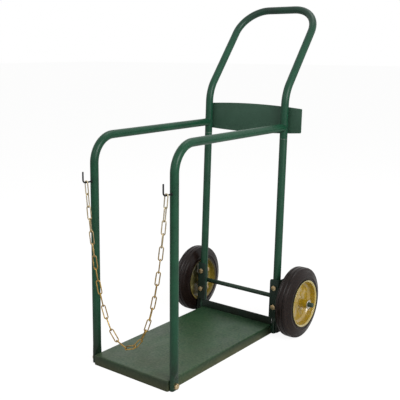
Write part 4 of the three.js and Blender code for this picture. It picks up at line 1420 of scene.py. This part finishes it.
@dataclass(frozen=True)
class ChainSet:
    """Rod hooks on the front posts and the chain that hangs between them."""

    hook_wire: float = 5.0
    hook_z: float = 597.0
    hook_y: float = -28.0
    hook_top: float = 631.0
    hook_bend: float = 10.0
    links: int = 28
    wire: float = 3.6
    link_width: float = 15.0
    link_inner: float = 39.5
    butt_half: float = 4.0

    def hook(self, side: Side) -> list[Shell]:
        """One hook with a domed tip, and the weld that holds it to its post."""
        x, y, r = side.value * TUBE.side_x, self.hook_y, self.hook_wire / 2.0
        start = FrontFrame().post_y - TUBE.radius - 0.1
        corners = np.array([[x, start, self.hook_z], [x, y, self.hook_z], [x, y, self.hook_top]])
        path, tangents = bend(corners, np.array([self.hook_bend]), 14)
        a = np.linspace(0.0, 1.0, 6)[1:] * math.pi / 2.0 * 0.96
        path = np.vstack([path, line_of(x, y, self.hook_top + 0.9 * np.sin(a))])
        tangents = np.vstack([tangents, np.tile(Z_AXIS, (5, 1))])
        radii = np.concatenate([np.full(len(path) - 5, r), r * np.cos(a)])
        rod = skin(carry(path, tangents, rounds(radii, 20), X_AXIS))
        p, collar = angles(60), r + 0.7
        weld = line_of(x + collar * np.sin(p), start - 0.5, self.hook_z + collar * np.cos(p))
        return [rod, bead_ring(weld, width=2.6, ripples=12)]

    def link(self) -> Shell:
        """One welded link: a round wire round a stadium, with a low lump at the butt weld.

        The wire's radius is w/2 (1 + 0.14 exp(-(s / 1.6)^2)), s from the middle of one side.
        """
        round_r = (self.link_width - self.wire) / 2.0
        straight = self.link_inner / 2.0 - (round_r - self.wire / 2.0)
        a = np.linspace(-math.pi / 2.0, math.pi / 2.0, 11)
        right = np.stack([straight + round_r * np.cos(a), round_r * np.sin(a)], -1)
        top = np.stack([np.linspace(straight, -straight, 9)[1:-1], np.full(7, round_r)], -1)
        loop = np.vstack([right, top, -right, -top])
        near = np.linspace(-self.butt_half, self.butt_half, 9)
        weld = np.stack([near, np.full(9, -round_r)], -1)
        under = loop[:, 1] < -round_r + 0.1
        loop = loop[~(under & (np.abs(loop[:, 0]) < self.butt_half + 0.5))]
        place = int(np.argmax((loop[:, 1] < -round_r + 0.1) & (loop[:, 0] > 0.0)))
        loop = np.vstack([loop[:place], weld, loop[place:]])
        path = np.column_stack([loop, np.zeros(len(loop))])
        tangents = unit(np.roll(path, -1, 0) - np.roll(path, 1, 0))
        swell = np.exp(-((path[:, 0] / 1.6) ** 2)) * (path[:, 1] < -round_r + 0.1)
        radii = self.wire / 2.0 * (1.0 + 0.14 * swell)
        return skin(carry(path, tangents, rounds(radii, 12), Z_AXIS), looped=True)

    def pose(self, node: str) -> tuple[Array, Array]:
        """Turn and middle of one packed link, from the three main directions of its points."""
        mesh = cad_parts[node].data
        flat = np.empty(3 * len(mesh.vertices))
        mesh.vertices.foreach_get("co", flat)
        points = np.unique(np.round(flat.reshape(-1, 3) / MM, 4), axis=0)
        middle = points.mean(axis=0)
        _, _, axes = np.linalg.svd(points - middle, full_matrices=False)
        turn = axes.T.copy()
        turn[:, 2] *= np.sign(np.linalg.det(turn))
        return turn, middle + [0.0, ORIGIN_Y, 0.0]

    def build(self) -> None:
        """Makes the hooks and every link."""
        for side in Side:
            name, node = f"rod_hook_{side.tag}", f"chain_hook_{side.tag}"
            make_piece(name, self.hook(side), BLACK_ROD, node)
        form = self.link()
        for number in range(1, self.links + 1):
            name, node = f"welded_link_{number:02d}", f"chain_link_{number:02d}"
            link = [form.moved(*self.pose(node))]
            make_piece(name, link, CHAIN_ZINC, node, body=Body.CHAIN)


# ---------------------------------------------------------------- camera, floor and light


@dataclass(frozen=True)
class Studio:
    """The photograph's camera, a pale floor and soft lamps."""

    camera_at: Place = (1.42583, -1.56461, 1.00365)
    azimuth: float = 39.42
    pitch: float = 9.321
    lens: float = 65.426
    shift: Pair = (0.08873, -0.08)
    floor_colour: str = "f2f2f0"
    floor_half: float = 40.0
    floor_lift: float = 0.75
    floor_glow: float = 1.2
    surround: float = 0.34

    def camera(self) -> None:
        """Puts the camera at the photograph's place and angle."""
        data = bpy.data.cameras.new("photo_camera")
        data.lens, data.sensor_width = self.lens, 36.0
        data.shift_x, data.shift_y = self.shift
        data.clip_start, data.clip_end = 0.05, 100.0
        camera = bpy.data.objects.new("photo_camera", data)
        camera.location = self.camera_at
        camera.rotation_euler = (math.radians(90.0 - self.pitch), 0.0, math.radians(self.azimuth))
        bpy.context.scene.collection.objects.link(camera)
        bpy.context.scene.camera = camera

    def lamp(self, name: str, at: Place, aim: Place, size: float, watts: float) -> None:
        """Adds one soft square lamp aimed at a point."""
        data = bpy.data.lights.new(name, "AREA")
        data.shape, data.size, data.size_y, data.energy = "RECTANGLE", size, size, watts
        lamp = bpy.data.objects.new(name, data)
        lamp.location = at
        toward = unit(np.array(aim) - np.array(at))
        yaw = math.atan2(-toward[0], toward[1])
        tilt = math.acos(float(np.clip(-toward[2], -1.0, 1.0)))
        lamp.rotation_euler = (tilt, 0.0, yaw)
        bpy.context.scene.collection.objects.link(lamp)

    def world(self) -> None:
        """An even pale surround that the camera, gloss and clear parts see as white."""
        world = bpy.data.worlds.new("studio_surround")
        bpy.context.scene.world = world
        world.use_nodes = True
        tree = world.node_tree
        tree.nodes.clear()
        rays = add_node(tree, "ShaderNodeLightPath", {}).outputs
        seen = rays["Is Camera Ray"]
        for other in ("Is Transmission Ray", "Is Glossy Ray"):
            pair = {0: seen, 1: rays[other]}
            seen = add_node(tree, "ShaderNodeMath", {"operation": "MAXIMUM"}, pair).outputs[0]
        ends = ramp((0.0, 1.0), (self.surround, 1.0))
        strength = add_node(tree, "ShaderNodeMapRange", ends, {"Value": seen}).outputs[0]
        white = {"Color": (1.0, 1.0, 1.0, 1.0)}
        ground = add_node(tree, "ShaderNodeBackground", white, {"Strength": strength})
        add_node(tree, "ShaderNodeOutputWorld", {}, {"Surface": ground.outputs[0]})

    def floor(self) -> None:
        """A plain floor: matt near-white, lifted to white for the camera, still taking shadow."""
        h = self.floor_half
        mesh = bpy.data.meshes.new("studio_floor")
        corners = [(-h, -h, 0.0), (h, -h, 0.0), (h, h, 0.0), (-h, h, 0.0)]
        mesh.from_pydata(corners, [], [(0, 1, 2, 3)])
        material = bpy.data.materials.new("matt_white_floor")
        material.use_nodes = True
        tree = material.node_tree
        tree.nodes.clear()
        seen = add_node(tree, "ShaderNodeLightPath", {}).outputs["Is Camera Ray"]
        ends = ramp((0.0, 1.0), (0.0, self.floor_lift))
        lift = add_node(tree, "ShaderNodeMapRange", ends, {"Value": seen}).outputs[0]
        matt = add_node(tree, "ShaderNodeBsdfDiffuse", {"Color": srgb(self.floor_colour)})
        white = {"Color": (1.0, 1.0, 1.0, 1.0), "Strength": self.floor_glow}
        glow = add_node(tree, "ShaderNodeEmission", white)
        both = {0: lift, 1: matt.outputs[0], 2: glow.outputs[0]}
        blend = add_node(tree, "ShaderNodeMixShader", {}, both)
        add_node(tree, "ShaderNodeOutputMaterial", {}, {"Surface": blend.outputs[0]})
        mesh.materials.append(material)
        floor = bpy.data.objects.new("studio_floor", mesh)
        bpy.context.scene.collection.objects.link(floor)

    def build(self) -> None:
        """Makes camera, surround, floor and lamps."""
        self.camera()
        self.world()
        self.floor()
        aim = (0.0, 0.35, 0.5)
        self.lamp("key_softbox", (3.4, -0.6, 2.2), aim, 1.8, 88.0)
        self.lamp("front_softbox", (-0.3, -3.4, 3.0), aim, 0.9, 14.0)
        self.lamp("top_softbox", (0.2, 1.2, 3.4), aim, 1.4, 15.0)
        bpy.context.scene.view_settings.view_transform = "Standard"


def main() -> None:
    """Builds the cart group by group, then the studio."""
    logging.basicConfig(level=logging.INFO, format="%(name)s: %(message)s")
    cart = [TrayBuild(), FrontFrame(), RearFrame(), AxleMounts(), WheelMake(), ChainSet()]
    for group in [*cart, Studio()]:
        LOG.info("building %s", type(group).__name__)
        group.build()


if __name__ == "__main__":
    main()
